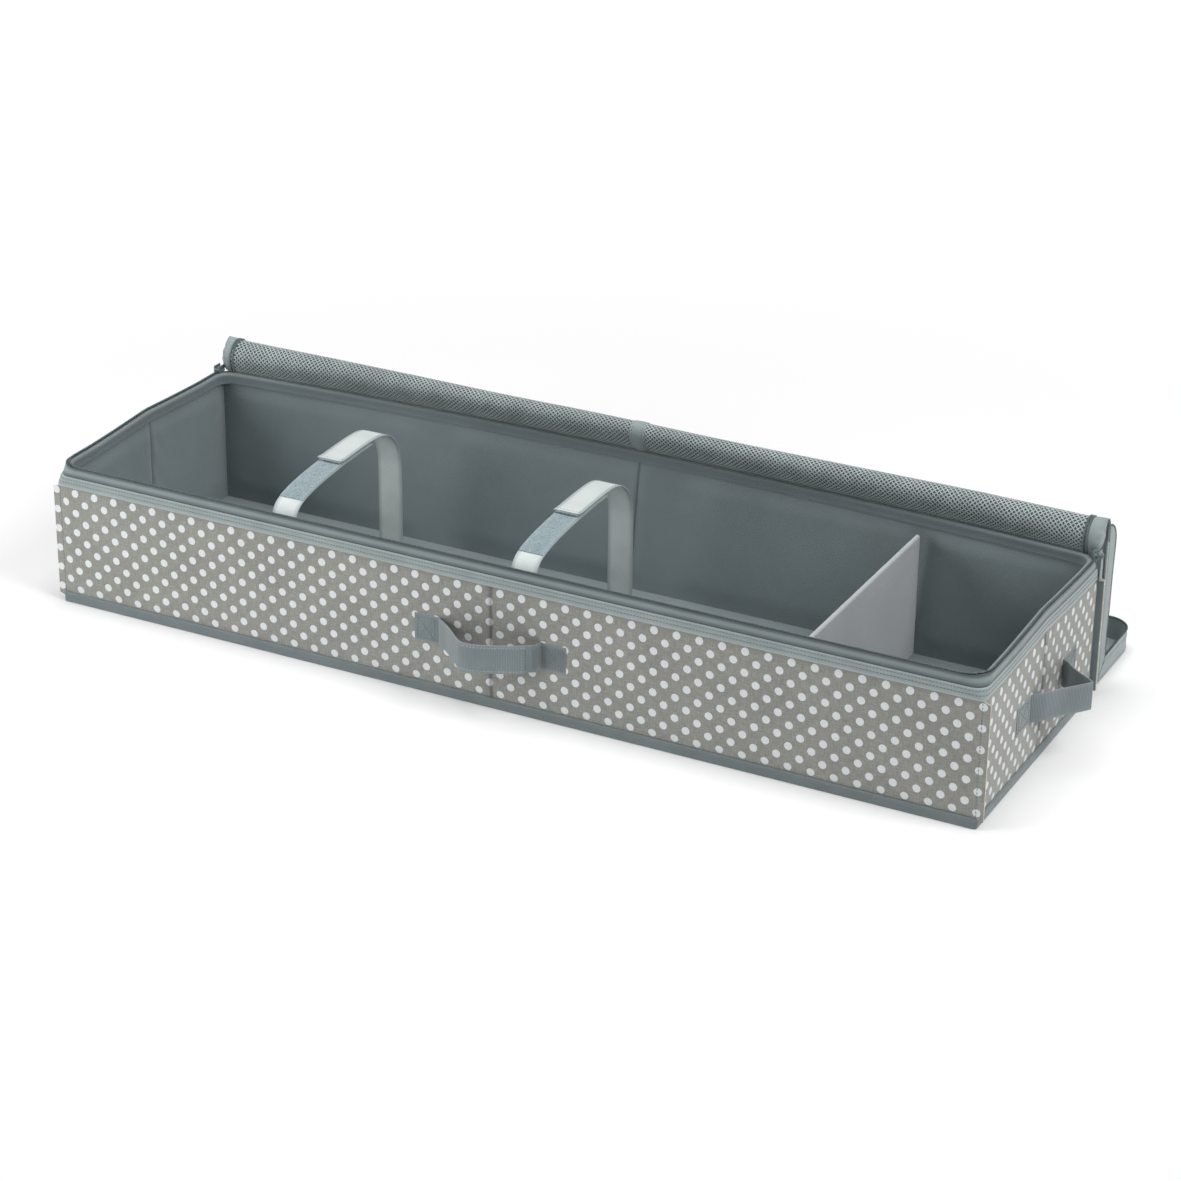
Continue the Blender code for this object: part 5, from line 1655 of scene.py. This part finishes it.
@dataclass
class Strap:
    """One hold-down strap: a front half with loop tape, and a rear half that comes over it with hooks."""

    side: Side
    x: float
    width: float = 0.028
    tape: float = 0.0012
    pad: float = 0.0010
    gap: float = 0.0003
    anchor_y: float = -0.1442
    anchor_low: float = 0.1152
    pivot_z: float = 0.1461
    end_y: float = 0.004
    crest: float = 0.1740
    foot_y: float = 0.060
    foot_z: float = 0.0063
    foot_end: float = 0.0915
    tail_y: float = -0.062
    loop_span: tuple[float, float] = (-0.130, -0.016)
    hook_length: float = 0.040
    upper: float = 0.12
    edge_inset: float = 0.0022
    tail_rise: float = 0.0024
    tail_reach: float = 0.020
    front_shares: Profile = ((0.045, 0.36), (0.12, 0.58), (0.28, 0.76), (0.50, 0.89), (0.74, 0.97), (1.0, 1.0))
    rear_shares: Profile = ((0.30, 0.992), (0.62, 0.955), (0.86, 0.88), (0.975, 0.78), (1.0, 0.66), (1.0, 0.30))

    def front_line(self) -> Line:
        """Lists the front half's line, from its pivot at the rim to its free end."""
        start = Vector((self.x, self.anchor_y, self.pivot_z))
        way = Vector((0, self.end_y - self.anchor_y, 0))
        rise = Vector((0, 0, self.crest - self.pivot_z))
        points = [start + way * share + rise * part for share, part in self.front_shares]
        return smooth_line([start, *points], 8)

    def rear_line(self) -> Line:
        """Lists the rear half's line, from its foot up and over to its lifted tail."""
        lift = self.tape + 2 * self.pad + 3 * self.gap
        top = self.crest + lift
        way = self.foot_y - self.end_y
        points = [Vector((self.x, self.end_y + way * share, top * part)) for share, part in self.rear_shares]
        leg = [Vector((self.x, self.foot_y, self.foot_z + 0.004)), *reversed(points)]
        over = [spot + Vector((0, 0, lift)) for spot in reversed(self.front_line())]
        tail = [spot for spot in over if self.tail_y <= spot.y < self.end_y - 0.002][::4]
        line = smooth_line([*leg, *tail], 4)
        lifts = self.tail_y + self.tail_reach
        for spot in line:
            if spot.z > self.upper and spot.y < lifts:
                spot.z += self.tail_rise * ((lifts - spot.y) / self.tail_reach) ** 2
        return line

    def pad_part(self, line: Line, low: float, high: float, rise: float) -> Line:
        """Lists the part of a line between two places along the strap, lifted by a height."""
        return [spot + UP * rise for spot in line if low <= spot.y <= high and spot.z > self.upper]

    def strip(self, name: str, line: Line, size: tuple[float, float], kind: Stuff | Trim, carrier: Ride | Bend,
              *stands_for: str) -> None:
        """Makes a length of tape along a line.

        Args:
            name: The piece's name.
            line: The line.
            size: The tape's width and thickness.
            kind: Its finish.
            carrier: What it moves with.
            stands_for: The frame's nodes that it replaces.
        """
        cut = Cut().band(line, [RIGHT] * len(line), tape_section(*size, 6))
        cut.fit(name, [kind], carrier, stands_for)

    def build(self) -> None:
        """Builds both halves, their pads and the stitches."""
        name, x = f"{self.side.word}_strap", self.x
        front, rear = self.front_line(), self.rear_line()
        hang = [Vector((x, self.anchor_y, self.anchor_low + 0.0062 * step)) for step in range(5)]
        foot = [Vector((x, self.foot_end - 0.0052 * step, self.foot_z)) for step in range(6)]
        foot.append(Vector((x, self.foot_y + 0.0012, self.foot_z + 0.0005)))
        front_carry = Bend("case", f"{name}_front", (x, self.anchor_y, 0.1415), (x, self.anchor_y, 0.1500))
        rear_carry = Bend("case", f"{name}_rear", (x, self.foot_y + 0.005, self.foot_z),
                          (x, self.foot_y - 0.001, self.foot_z + 0.008))
        size = (self.width, self.tape)
        self.strip(f"{name}_front_tape", [*hang, *front], size, Stuff.STRAP, front_carry,
                   f"{name}_front_anchor", f"{name}_front_half")
        self.strip(f"{name}_rear_tape", [*foot, *rear], size, Stuff.STRAP, rear_carry,
                   f"{name}_rear_anchor", f"{name}_rear_half")
        rise = self.tape / 2 + self.gap + self.pad / 2
        loops = self.pad_part(front, *self.loop_span, rise)
        self.strip(f"{name}_loop_tape", loops, (self.width - 0.0014, self.pad), Stuff.PAD, Ride(f"{name}_front"),
                   f"{name}_loop_pad")
        hooks = self.pad_part(rear, self.tail_y + 0.001, self.tail_y + self.hook_length, -rise)
        self.strip(f"{name}_hook_tape", hooks, (self.width - 0.0030, self.pad), Trim.HOOKS, Ride(f"{name}_rear"),
                   f"{name}_hook_pad")
        self.sew(name, rear, loops)

    def border(self, line: Line, lift: float) -> list[Line]:
        """Lists the rows of stitches around a length of tape."""
        edge = self.width / 2 - self.edge_inset
        sides = [lifted(line, [RIGHT] * len(line), wide, lift) for wide in (-edge, edge)]
        return [*sides, [sides[0][0], sides[1][0]], [sides[0][-1], sides[1][-1]]]

    def sew(self, name: str, rear: Line, loops: Line) -> None:
        """Sews the pad's border, the tail's border and the anchors."""
        pads = self.border(loops[1:-1], self.pad / 2)
        sew(f"{name}_loop_stitches", pads, SMALL, Ride(f"{name}_front"), Trim.PALE_THREAD)
        tail = [spot for spot in rear if spot.y < self.end_y + 0.03 and spot.z > 0.15]
        sew(f"{name}_tail_stitches", self.border(tail[:-1], -self.tape / 2), SMALL, Ride(f"{name}_rear"))
        edge = self.width / 2 - self.edge_inset
        lift = self.tape / 2 + 0.0001
        y, z = self.anchor_y + lift, self.foot_z + lift
        low, high = self.anchor_low + 0.003, self.anchor_low + 0.022
        near, far = self.foot_y + 0.009, self.foot_end - 0.003
        hung = [Vector((self.x + a * edge, y, b)) for a, b in ((-1, low), (1, low), (1, high), (-1, high))]
        foot = [Vector((self.x + a * edge, b, z)) for a, b in ((-1, near), (1, near), (1, far), (-1, far))]
        sew(f"{name}_anchor_stitches", [*crossed(hung), *crossed(foot)], SMALL, kind=Trim.PALE_THREAD)


# ---------------------------------------------------------------- the lid


@dataclass
class Lid:
    """The net lid, folded back over the rear rim: roll, back and front, with borders, skirts and coils."""

    hinge: tuple[float, float] = (0.156, 0.1817)
    back_y: float = 0.174
    ground: float = 0.0015
    front_end: float = 0.2808
    half_x: float = 0.4983
    end_x: float = 0.499
    skirt: float = 0.024
    corner: float = 0.024
    ribbon: float = 0.017
    thin: float = 0.0008
    coil_radius: float = 0.0013
    cap_start: float = 0.4850
    # Places of the roll's line at the ends of the case, from the foot on the rim to the back
    roll_y: tuple[float, ...] = (0.1497, 0.1478, 0.1466, 0.1470, 0.1498, 0.1550, 0.1622, 0.1688, 0.1730, 0.1744)
    roll_z: tuple[float, ...] = (0.1517, 0.1560, 0.1620, 0.1688, 0.1756, 0.1812, 0.1838, 0.1824, 0.1776, 0.1690)
    roll_shift: tuple[float, ...] = (1.0, 0.84, 0.66, 0.46, 0.27, 0.12, 0.03, 0.0, 0.0, 0.0)
    turn_low: float = 0.1560
    skirt_rows: tuple[float, float] = (0.14, 0.72)
    part_split: float = 0.70
    roll_length: float = 0.052
    turn_length: float = 0.030
    cap_width: float = 0.0145
    centre_half: float = 0.0078
    piping: float = 0.0014
    hem_inset: float = 0.0025
    heel_thickness: float = 0.0007
    backing_thickness: float = 0.0004
    bun: Vector = field(default_factory=lambda: Vector((0, 0.1612, 0.1680)))

    def roll_line(self, x: float) -> Line:
        """Lists the roll's line at a place along the case, from its foot over the top and down behind."""
        bow = FORM.lean(x, FORM.ledge)
        points = []
        for y, z, shift in zip(self.roll_y, self.roll_z, self.roll_shift):
            uneven = ripple(x * 7, z * 20, 83.0) - 0.5
            points.append(Vector((x, y + bow * shift + 0.0012 * uneven, z + 0.0016 * uneven * (1 - shift))))
        points.append(Vector((x, self.back_y + 0.0004, self.turn_low)))
        return smooth_line(points, 6)

    def on_roll(self, x: float, share: float, inset: float = 0.0, span: tuple[float, float] = (0.0, 1.0)) -> Vector:
        """Gives a point of the roll.

        Args:
            x: The place along the case.
            share: The share of the way over the roll, within the span.
            inset: How far inside the net's own surface.
            span: The part of the roll that the shares run over.

        Returns:
            The point.
        """
        line = self.roll_line(x)
        reach = (span[0] + (span[1] - span[0]) * share) * (len(line) - 1)
        step = min(int(reach), len(line) - 2)
        place = line[step].lerp(line[step + 1], reach - step)
        if inset:
            way = line[step + 1] - line[step]
            place += Vector((0, way.z, -way.y)).normalized() * inset
        return place

    def build(self) -> None:
        """Builds the whole lid."""
        self.over = Bend("case", "lid_crest", (0, 0.1550, 0.1780), (0, 0.1622, 0.1822))
        self.down = Bend("lid_crest", "lid_back", (0, 0.1690, 0.1822), (0, 0.1742, 0.1740))
        self.roll()
        self.end_caps()
        self.back()
        self.front()
        self.skirts()

    def parts(self) -> tuple[tuple[str, Bend, tuple[float, float]], ...]:
        """Lists the roll's two parts, each with its name, carrier and span."""
        return ("roll", self.over, (0.0, self.part_split)), ("turn", self.down, (self.part_split, 1.0))

    def roll(self) -> None:
        """Builds the net over the rim, the cloth behind it and the tape at its foot."""
        width = 2 * self.cap_start + 0.004
        for word, carrier, span in self.parts():
            first = word == "roll"
            height, cells = (self.roll_length, 22) if first else (self.turn_length, 12)
            NET.hang(f"lid_{word}_net", (width, height),
                     lambda x, y, span=span, height=height: self.on_roll(x, y / height + 0.5, 0.0, span),
                     carrier, ["lid_hem_net", "lid_crest_net"] if first else [], "folded", "rear_cloth")

            def spot(u: float, v: float, span: tuple[float, float] = span, height: float = height) -> Spot:
                x = (self.cap_start + 0.001) * (2 * u - 1)
                return Spot(self.on_roll(x, v, 0.0012, span), (x, v * height), 0.0)

            back = Cut().patch(120, cells, spot).fit(f"lid_{word}_backing", [Trim.BACKING], carrier,
                                                     thickness=self.backing_thickness)
        self.foot_tape()
        self.centre_tape()

    def centre_tape(self) -> None:
        """Builds the tape over the roll's middle and its stitches."""
        half = self.centre_half
        for word, carrier, span in self.parts():

            def spot(u: float, v: float, span: tuple[float, float] = span) -> Spot:
                across = 2 * u - 1
                high = 0.0007 + 0.0007 * math.cos(across * math.pi / 2)
                return Spot(self.on_roll(half * across, v, -high, span), (0.05 * v, half * across), across**6)

            Cut().patch(8, 24, spot).fit(f"lid_{word}_centre_tape", [Stuff.TAPE], carrier, (), self.thin, -1.0)
            rows = [[spot(share, step / 30).place for step in range(31)] for share in (0.12, 0.88)]
            sew(f"lid_{word}_centre_stitches", rows, PLAIN, carrier)

    def foot_tape(self) -> None:
        """Builds the tape that sews the roll's foot to the rear rim."""
        line = [Vector((x, FORM.half_y + FORM.lean(x, FORM.ledge) - 0.0010, 0.1532))
                for x in (self.cap_start * (2 * step / 120 - 1) for step in range(121))]
        across = [Vector((0, -0.25, 1)).normalized()] * len(line)
        Cut().band(line, across, tape_section(0.0058, 0.0009, 2)).fit("lid_foot_tape", [Trim.ZIP_TAPE])
        row = [spot + Vector((0, -0.0006, 0.0004)) for spot in line]
        sew("lid_foot_stitches", [row], WIDE)

    def end_caps(self) -> None:
        """Builds the rounded tape at each end of the roll, with the two pipings beside the net."""
        for side in Side:
            for word, carrier, span in self.parts():
                cells = 26 if word == "roll" else 14

                def spot(u: float, v: float, side: Side = side, span: tuple[float, float] = span) -> Spot:
                    angle = u * math.pi / 2
                    x = side.value * (self.cap_start + 0.0010 + self.cap_width * math.sin(angle))
                    flat = ease(span[0] + (span[1] - span[0]) * v, 0.48, self.part_split)
                    rise = -0.0014 * math.sin(min(1.0, 3 * u) * math.pi / 2)
                    place = self.on_roll(side.value * min(abs(x), self.half_x), v, rise, span)
                    shrink = flat + (1 - flat) * max(0.0, math.cos(angle)) ** 0.55
                    place = self.bun + (place - self.bun) * shrink
                    pleat = 0.0007 * math.sin(v * (26 if span[0] == 0 else 11)) * u * (1 - flat)
                    place.x = x + side.value * pleat * (1 - u**4)
                    return Spot(place, (v * 0.06, u * 0.022), 0.7 * (1 - u) ** 12)

                cap = Cut().patch(10, cells, spot)
                cap.fit(f"lid_{word}_cap_{side.word}", [Stuff.TAPE], carrier, (), self.thin, -1.0)
                lines = []
                for shift in (-0.0016, 0.0014):
                    x = side.value * (self.cap_start + shift)
                    lines.append([self.on_roll(x, step / 30, -0.0006, span) for step in range(31)])
                wind(f"lid_{word}_piping_{side.word}", lines, self.piping, carrier, (), Trim.ZIP_TAPE, Pitch=0.0012,
                     Slant=0.0)

    def frame_band(self, name: str, lines: list[tuple[Line, Line]], body: str, stands_for: str) -> None:
        """Makes a border of tape from several lengths, each with its own directions across."""
        cut = Cut()
        for line, across in lines:
            cut.band(line, across, tape_section(self.ribbon, self.thin, 4))
        cut.fit(name, [Stuff.TAPE], Ride(body), [stands_for])

    def straight(self, start: Vector, end: Vector, across: Vector, cells: int = 40) -> tuple[Line, Line]:
        """Lists a straight length of tape, with its direction across at each point."""
        return [start.lerp(end, step / cells) for step in range(cells + 1)], [across] * (cells + 1)

    def back(self) -> None:
        """Builds the back: its two windows of net and its tape border."""
        high, low = self.hinge[1] - 0.0035, self.ground + 0.0035
        y = self.back_y + 0.0010
        half = self.ribbon / 2
        edge = self.half_x - half - 0.0004
        lines = [self.straight(Vector((-edge, y, z)), Vector((edge, y, z)), UP, 80)
                 for z in (low + half, high - half - 0.010)]
        for x in (-edge, 0.0, edge):
            lines.append(self.straight(Vector((x, y + 0.0009, low)), Vector((x, y + 0.0009, high - 0.006)), RIGHT))
        self.frame_band("lid_back_border", lines, "lid_back", "lid_back_ribbon")
        top = 0.1600
        for side in Side:
            width, height = self.half_x - 0.012, top - low - 0.004
            middle = Vector((side.value * (width / 2 + 0.004), self.back_y, (top + low + 0.004) / 2))

            def place(x: float, z: float, middle: Vector = middle) -> Vector:
                sag = 0.0022 * (ripple((middle.x + x) * 7, (middle.z + z) * 9, 91.0) - 0.5)
                return middle + Vector((x, sag, z))

            NET.hang(f"lid_back_net_{side.word}", (width, height), place, Ride("lid_back"),
                     ["lid_back_net"] if side is Side.LEFT else [], "hung", "lid_back_border")
        rows = []
        for inset in (self.hem_inset, self.ribbon - self.hem_inset):
            x, z0, z1 = edge + half - inset, low + inset, high - 0.010 - inset
            rows.append([Vector((a, y + 0.0014, b))
                         for a, b in ((-x, z0), (x, z0), (x, z1), (-x, z1), (-x, z0))])
        sew("lid_back_stitches", rows, PLAIN, Ride("lid_back"))

    def front(self) -> None:
        """Builds the front on the ground: its two windows of net, its border and the fold to the back."""
        start, end = self.back_y, self.front_end - 0.0016
        z = self.ground + 0.0008
        half = self.ribbon / 2
        x = self.half_x - half - 0.0004
        turn = self.corner - half
        line = [(-x, start + 0.004 + 0.01 * step) for step in range(8)]
        reach = end - half - turn
        line = [spot for spot in line if spot[1] < reach]
        plan = [*line, *[(-x + turn - turn * math.cos(a), reach + turn * math.sin(a)) for a in self.quarter()]]
        plan += [(-x + turn + (2 * x - 2 * turn) * step / 80, end - half) for step in range(1, 80)]
        plan += [(-spot[0], spot[1]) for spot in reversed(plan[:-79])]
        points = [Vector((px, py, z)) for px, py in plan]
        across = []
        for step in range(len(points)):
            way = points[min(step + 1, len(points) - 1)] - points[max(step - 1, 0)]
            across.append(Vector((way.y, -way.x, 0)).normalized())
        fold = start + 0.004
        bands = [(points, across),
                 self.straight(Vector((0, fold, z + 0.0018)), Vector((0, end - 0.001, z + 0.0018)), RIGHT),
                 self.straight(Vector((-x, fold + half, z + 0.0009)), Vector((x, fold + half, z + 0.0009)), AHEAD,
                               80)]
        self.frame_band("lid_front_border", bands, "lid_front", "lid_front_ribbon")
        for side in Side:
            width, height = self.half_x - 0.0144, end - start - 0.020
            middle = Vector((side.value * (width / 2 + 0.004), (start + end) / 2 + 0.004, self.ground))

            def place(px: float, py: float, middle: Vector = middle) -> Vector:
                rise = 0.0016 * ripple((middle.x + px) * 8, (middle.y + py) * 11, 97.0)
                inner = ease(height / 2 - abs(py), 0.0, 0.03) * ease(width / 2 - abs(px), 0.0, 0.03)
                return middle + Vector((px, py, -0.0004 + rise * inner))

            NET.hang(f"lid_front_net_{side.word}", (width, height), place, Ride("lid_front"),
                     ["lid_front_net"] if side is Side.LEFT else [], "laid", "lid_front_border")
        self.heel(x + half)

    def quarter(self) -> list[float]:
        """Lists the angles of a rounded corner."""
        return [step / 10 * math.pi / 2 for step in range(11)]

    def heel(self, half: float) -> None:
        """Builds the tape over the fold between back and front."""
        y, z = self.back_y, self.ground
        line = [Vector((0, y + 0.0002, z + 0.012)), Vector((0, y + 0.0003, z + 0.005)),
                Vector((0, y + 0.0016, z + 0.0014)), Vector((0, y + 0.0060, z + 0.0001)),
                Vector((0, y + 0.0130, z))]
        path = smooth_line(line, 5)

        def spot(u: float, v: float) -> Spot:
            place = path[round(v * (len(path) - 1))].copy()
            place.x = half * (2 * u - 1)
            return Spot(place, (place.x, 0.025 * v), 0.0)

        carrier = Bend("lid_back", "lid_front", (0, y, z + 0.006), (0, y + 0.006, z))
        Cut().patch(80, len(path) - 1, spot).fit("lid_heel_tape", [Trim.BINDING], carrier,
                                                 thickness=self.heel_thickness)

    def skirt_width(self, run: float) -> float:
        """Gives the skirt's width at a distance down from the hinge: less where it will meet the risen rim."""
        closed_y = 2 * self.hinge[0] - self.back_y - run
        return self.skirt - FORM.rise(FORM.half_x, closed_y, FORM.height)

    def skirts(self) -> None:
        """Builds the skirts with their coils: straight ones on the back and a rounded one on the front."""
        for side in Side:
            x = side.value * self.end_x
            low, high = self.ground + 0.0007, self.hinge[1] - 0.0095

            def spot(u: float, v: float, x: float = x, low: float = low, high: float = high) -> Spot:
                reach = self.skirt * math.sin(v * math.pi / 2)
                top = high - self.skirt * (1 - math.cos(v * math.pi / 2))
                z = low + reach + (top - low - reach) * u
                reach *= self.skirt_width(self.hinge[1] - z) / self.skirt
                wave = 0.0006 * (ripple(z * 26, v * 2, x) - 0.5) * v
                return Spot(Vector((x + wave, self.back_y + reach, z)), (z, reach), v**6)

            Cut().patch(70, 14, spot).fit(f"lid_back_gusset_{side.word}", [Stuff.TAPE], Ride("lid_back"),
                                          [f"lid_back_skirt_{side.word}"], self.thin)
            edge = [spot(step / 40, 1.0).place for step in range(41)]
            edge += [spot(1.0, 1 - step / 12).place for step in range(1, 12)]
            wind(f"lid_back_coil_{side.word}", [edge], self.coil_radius, Ride("lid_back"))
            rows = [[spot(step / 40, share).place + Vector((side.value * 0.0005, 0, 0)) for step in range(41)]
                    for share in self.skirt_rows]
            sew(f"lid_back_gusset_stitches_{side.word}", rows, PLAIN, Ride("lid_back"))
        self.front_skirt()

    def front_skirt(self) -> None:
        """Builds the rounded skirt that stands around the front."""
        turn = self.corner + 0.0007
        x, end = self.end_x, self.front_end
        plan = [(x, self.back_y + (end - turn - self.back_y) * step / 24) for step in range(24)]
        plan += [(x - turn + turn * math.cos(a), end - turn + turn * math.sin(a)) for a in self.quarter()]
        plan += [(x - turn - 2 * (x - turn) * step / 100, end) for step in range(1, 100)]
        plan += [(-px, py) for px, py in reversed(plan[:35])]
        cells = len(plan) - 1

        def spot(u: float, v: float) -> Spot:
            px, py = plan[round(u * cells)]
            run = self.hinge[1] + py - self.back_y
            reach = (self.skirt_width(run) if py < end - turn else self.skirt) * v
            py = max(py, self.back_y + reach + 0.0007) if py < end - turn else py
            wave = 0.0008 * (ripple(px * 16 + py * 16, v * 2, 5.0) - 0.5) * v
            return Spot(Vector((px, py + wave, self.ground + reach)), (px + py, reach), v**6)

        Cut().patch(cells, 8, spot).fit("lid_front_gusset", [Stuff.TAPE], Ride("lid_front"), ["lid_front_skirt"],
                                        self.thin)
        edge = [spot(step / cells, 1.0).place for step in range(cells + 1)]
        edge = [spot for step, spot in enumerate(edge) if not step or (spot - edge[step - 1]).length > 1e-5]
        wind("lid_front_coil", [edge], self.coil_radius, Ride("lid_front"))
        rows = []
        for share in self.skirt_rows:
            row = [spot(step / cells, share).place for step in range(cells + 1)]
            rows.append([place + Vector((math.copysign(0.0005, place.x), 0.0005, 0)) for place in row])
        sew("lid_front_gusset_stitches", rows, PLAIN, Ride("lid_front"))


# ---------------------------------------------------------------- the rest


def finish_frame_nodes() -> None:
    """Gives each frame node that stays its own finish."""
    for name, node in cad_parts.items():
        if node.hide_render:
            continue
        kind = Stuff.METAL if "zip_" in name else Stuff.BOARD
        node.data.materials.clear()
        node.data.materials.append(DRESSER[kind])
        LOG.info("%s keeps its own mesh", name)


@dataclass
class Studio:
    """The plain floor, the soft lights and the camera."""

    azimuth: float = 27.227
    elevation: float = 25.328
    roll: float = 0.01132
    place: tuple[float, float, float] = (1.394454, -2.654157, 1.482226)
    focal_pixels: float = 3333.46
    picture: float = 1181.0
    sensor: float = 36.0
    ambient: float = 0.27
    fade_span: tuple[float, float] = (0.50, 1.10)
    lamps: tuple[tuple[str, tuple, tuple, float, float], ...] = (
        ("key", (2.6, -0.2, 2.7), (0.1, 0.0, 0.05), 76.0, 2.2),
        ("fill", (-1.30, -1.30, 0.75), (-0.55, 0.0, 0.05), 16.0, 1.1),
        ("top", (-0.2, 0.1, 3.4), (0.0, 0.1, 0.0), 50.0, 2.2),
    )

    def camera(self) -> None:
        """Sets the camera at the photograph's angle."""
        a, e, r = math.radians(self.azimuth), math.radians(self.elevation), self.roll
        level = Vector((math.cos(a), math.sin(a), 0))
        back = Vector((math.sin(a) * math.cos(e), -math.cos(a) * math.cos(e), math.sin(e)))
        upright = back.cross(level)
        right = level * math.cos(r) + upright * math.sin(r)
        up = -level * math.sin(r) + upright * math.cos(r)
        camera = bpy.data.objects.new("camera", bpy.data.cameras.new("camera"))
        bpy.context.scene.collection.objects.link(camera)
        matrix = Matrix((right, up, back)).transposed().to_4x4()
        matrix.translation = self.place
        camera.matrix_world = matrix
        camera.data.sensor_width = self.sensor
        camera.data.lens = self.focal_pixels / self.picture * self.sensor
        camera.data.clip_end = 50.0
        bpy.context.scene.camera = camera

    def lights(self) -> None:
        """Hangs the lamps, each aimed at the object."""
        for name, place, aim, power, size in self.lamps:
            lamp = bpy.data.lights.new(name, "AREA")
            lamp.energy = power
            lamp.shape = "DISK"
            lamp.size = size
            obj = bpy.data.objects.new(name, lamp)
            obj.location = place
            way = Vector(aim) - Vector(place)
            obj.rotation_euler = way.to_track_quat("-Z", "Y").to_euler()
            bpy.context.scene.collection.objects.link(obj)

    def world(self) -> None:
        """Sets an even pale surround that shows white behind the object."""
        world = bpy.data.worlds.new("surround")
        bpy.context.scene.world = world
        world.use_nodes = True
        wiring = Wiring(world.node_tree)
        path = wiring.node("ShaderNodeLightPath").outputs
        seen = wiring.math("MAXIMUM", path["Is Camera Ray"], path["Is Glossy Ray"])
        strength = wiring.node("ShaderNodeMapRange", {"Value": seen, "To Min": self.ambient, "To Max": 1.0})
        surround = world.node_tree.nodes["Background"]
        wiring.feed(surround.inputs["Color"], (1.0, 1.0, 1.0, 1.0))
        wiring.feed(surround.inputs["Strength"], strength.outputs[0])

    def floor(self) -> None:
        """Lays the plain pale floor."""
        mesh = bpy.data.meshes.new("floor")
        bm = bmesh.new()
        bmesh.ops.create_grid(bm, x_segments=2, y_segments=2, size=12.0)
        bm.to_mesh(mesh)
        bm.free()
        material = bpy.data.materials.new("floor")
        material.use_nodes = True
        self.fade(material)
        mesh.materials.append(material)
        floor = bpy.data.objects.new("floor", mesh)
        bpy.context.scene.collection.objects.link(floor)

    def fade(self, material: bpy.types.Material) -> None:
        """Lets the floor fade to plain white away from the object, for the camera only."""
        wiring = Wiring(material.node_tree)
        nodes = material.node_tree.nodes
        shader = nodes["Principled BSDF"]
        wiring.feed(shader.inputs["Base Color"], (0.95, 0.95, 0.95, 1.0))
        wiring.feed(shader.inputs["Roughness"], 0.7)
        place = wiring.node("ShaderNodeTexCoord").outputs["Object"]
        reach = wiring.node("ShaderNodeVectorMath", {0: place}, operation="LENGTH").outputs["Value"]
        feeds = {"Value": reach, "From Min": self.fade_span[0], "From Max": self.fade_span[1]}
        share = wiring.node("ShaderNodeMapRange", feeds, interpolation_type="SMOOTHSTEP").outputs[0]
        seen = wiring.math("MULTIPLY", share, wiring.node("ShaderNodeLightPath").outputs["Is Camera Ray"])
        white = wiring.node("ShaderNodeEmission").outputs[0]
        both = wiring.node("ShaderNodeMixShader", {0: seen, 1: shader.outputs[0], 2: white})
        wiring.feed(nodes["Material Output"].inputs["Surface"], both.outputs[0])

    def build(self) -> None:
        """Builds the studio."""
        self.camera()
        self.lights()
        self.world()
        self.floor()
        bpy.context.scene.view_settings.view_transform = "Standard"


def handles() -> list[Handle]:
    """Lists the three handles with their places and curves."""
    front_shares = ((0.25, 0.64), (0.36, 0.93), (0.43, 1.0), (0.54, 0.95), (0.70, 0.74), (0.84, 0.53))
    end_shares = ((0.31, 0.53), (0.47, 0.81), (0.58, 0.99), (0.62, 1.0), (0.71, 0.74), (0.80, 0.46))
    front_far = ((0.955, 1.0), (0.982, 0.80), (0.989, 0.42), (1.0, 0.0))
    end_far = ((0.885, 1.0), (0.920, 0.80), (0.955, 0.34), (1.0, 0.0))
    made = [Handle(Face.FRONT, Vector((-0.0012, -0.15, 0.0695)), Vector((1, 0, 0)), Vector((0, -1, 0)), 0.1115,
                   0.0365, 0.027, front_shares, front_far, ("left", "right"), doubled=True)]
    for face, side in ((Face.LEFT, -1), (Face.RIGHT, 1)):
        made.append(Handle(face, Vector((side * 0.5, 0.017, 0.067)), Vector((0, 1, 0)), Vector((side, 0, 0)), 0.088,
                           0.0405, 0.034, end_shares, end_far, ("front", "rear")))
    return made


def main() -> None:
    """Builds the studio, then the sub-assemblies in order, then gives the remaining frame nodes their finish."""
    Studio().build()
    sub_assemblies = [Covers(), Rim(), Lining(), Divider(), *handles(), Strap(Side.LEFT, -0.236),
                      Strap(Side.RIGHT, 0.031), Lid()]
    for assembly in sub_assemblies:
        LOG.info("building %s", type(assembly).__name__)
        assembly.build()
    finish_frame_nodes()


if __name__ == "__main__":
    logging.basicConfig(level=logging.INFO, format="%(message)s")
    main()
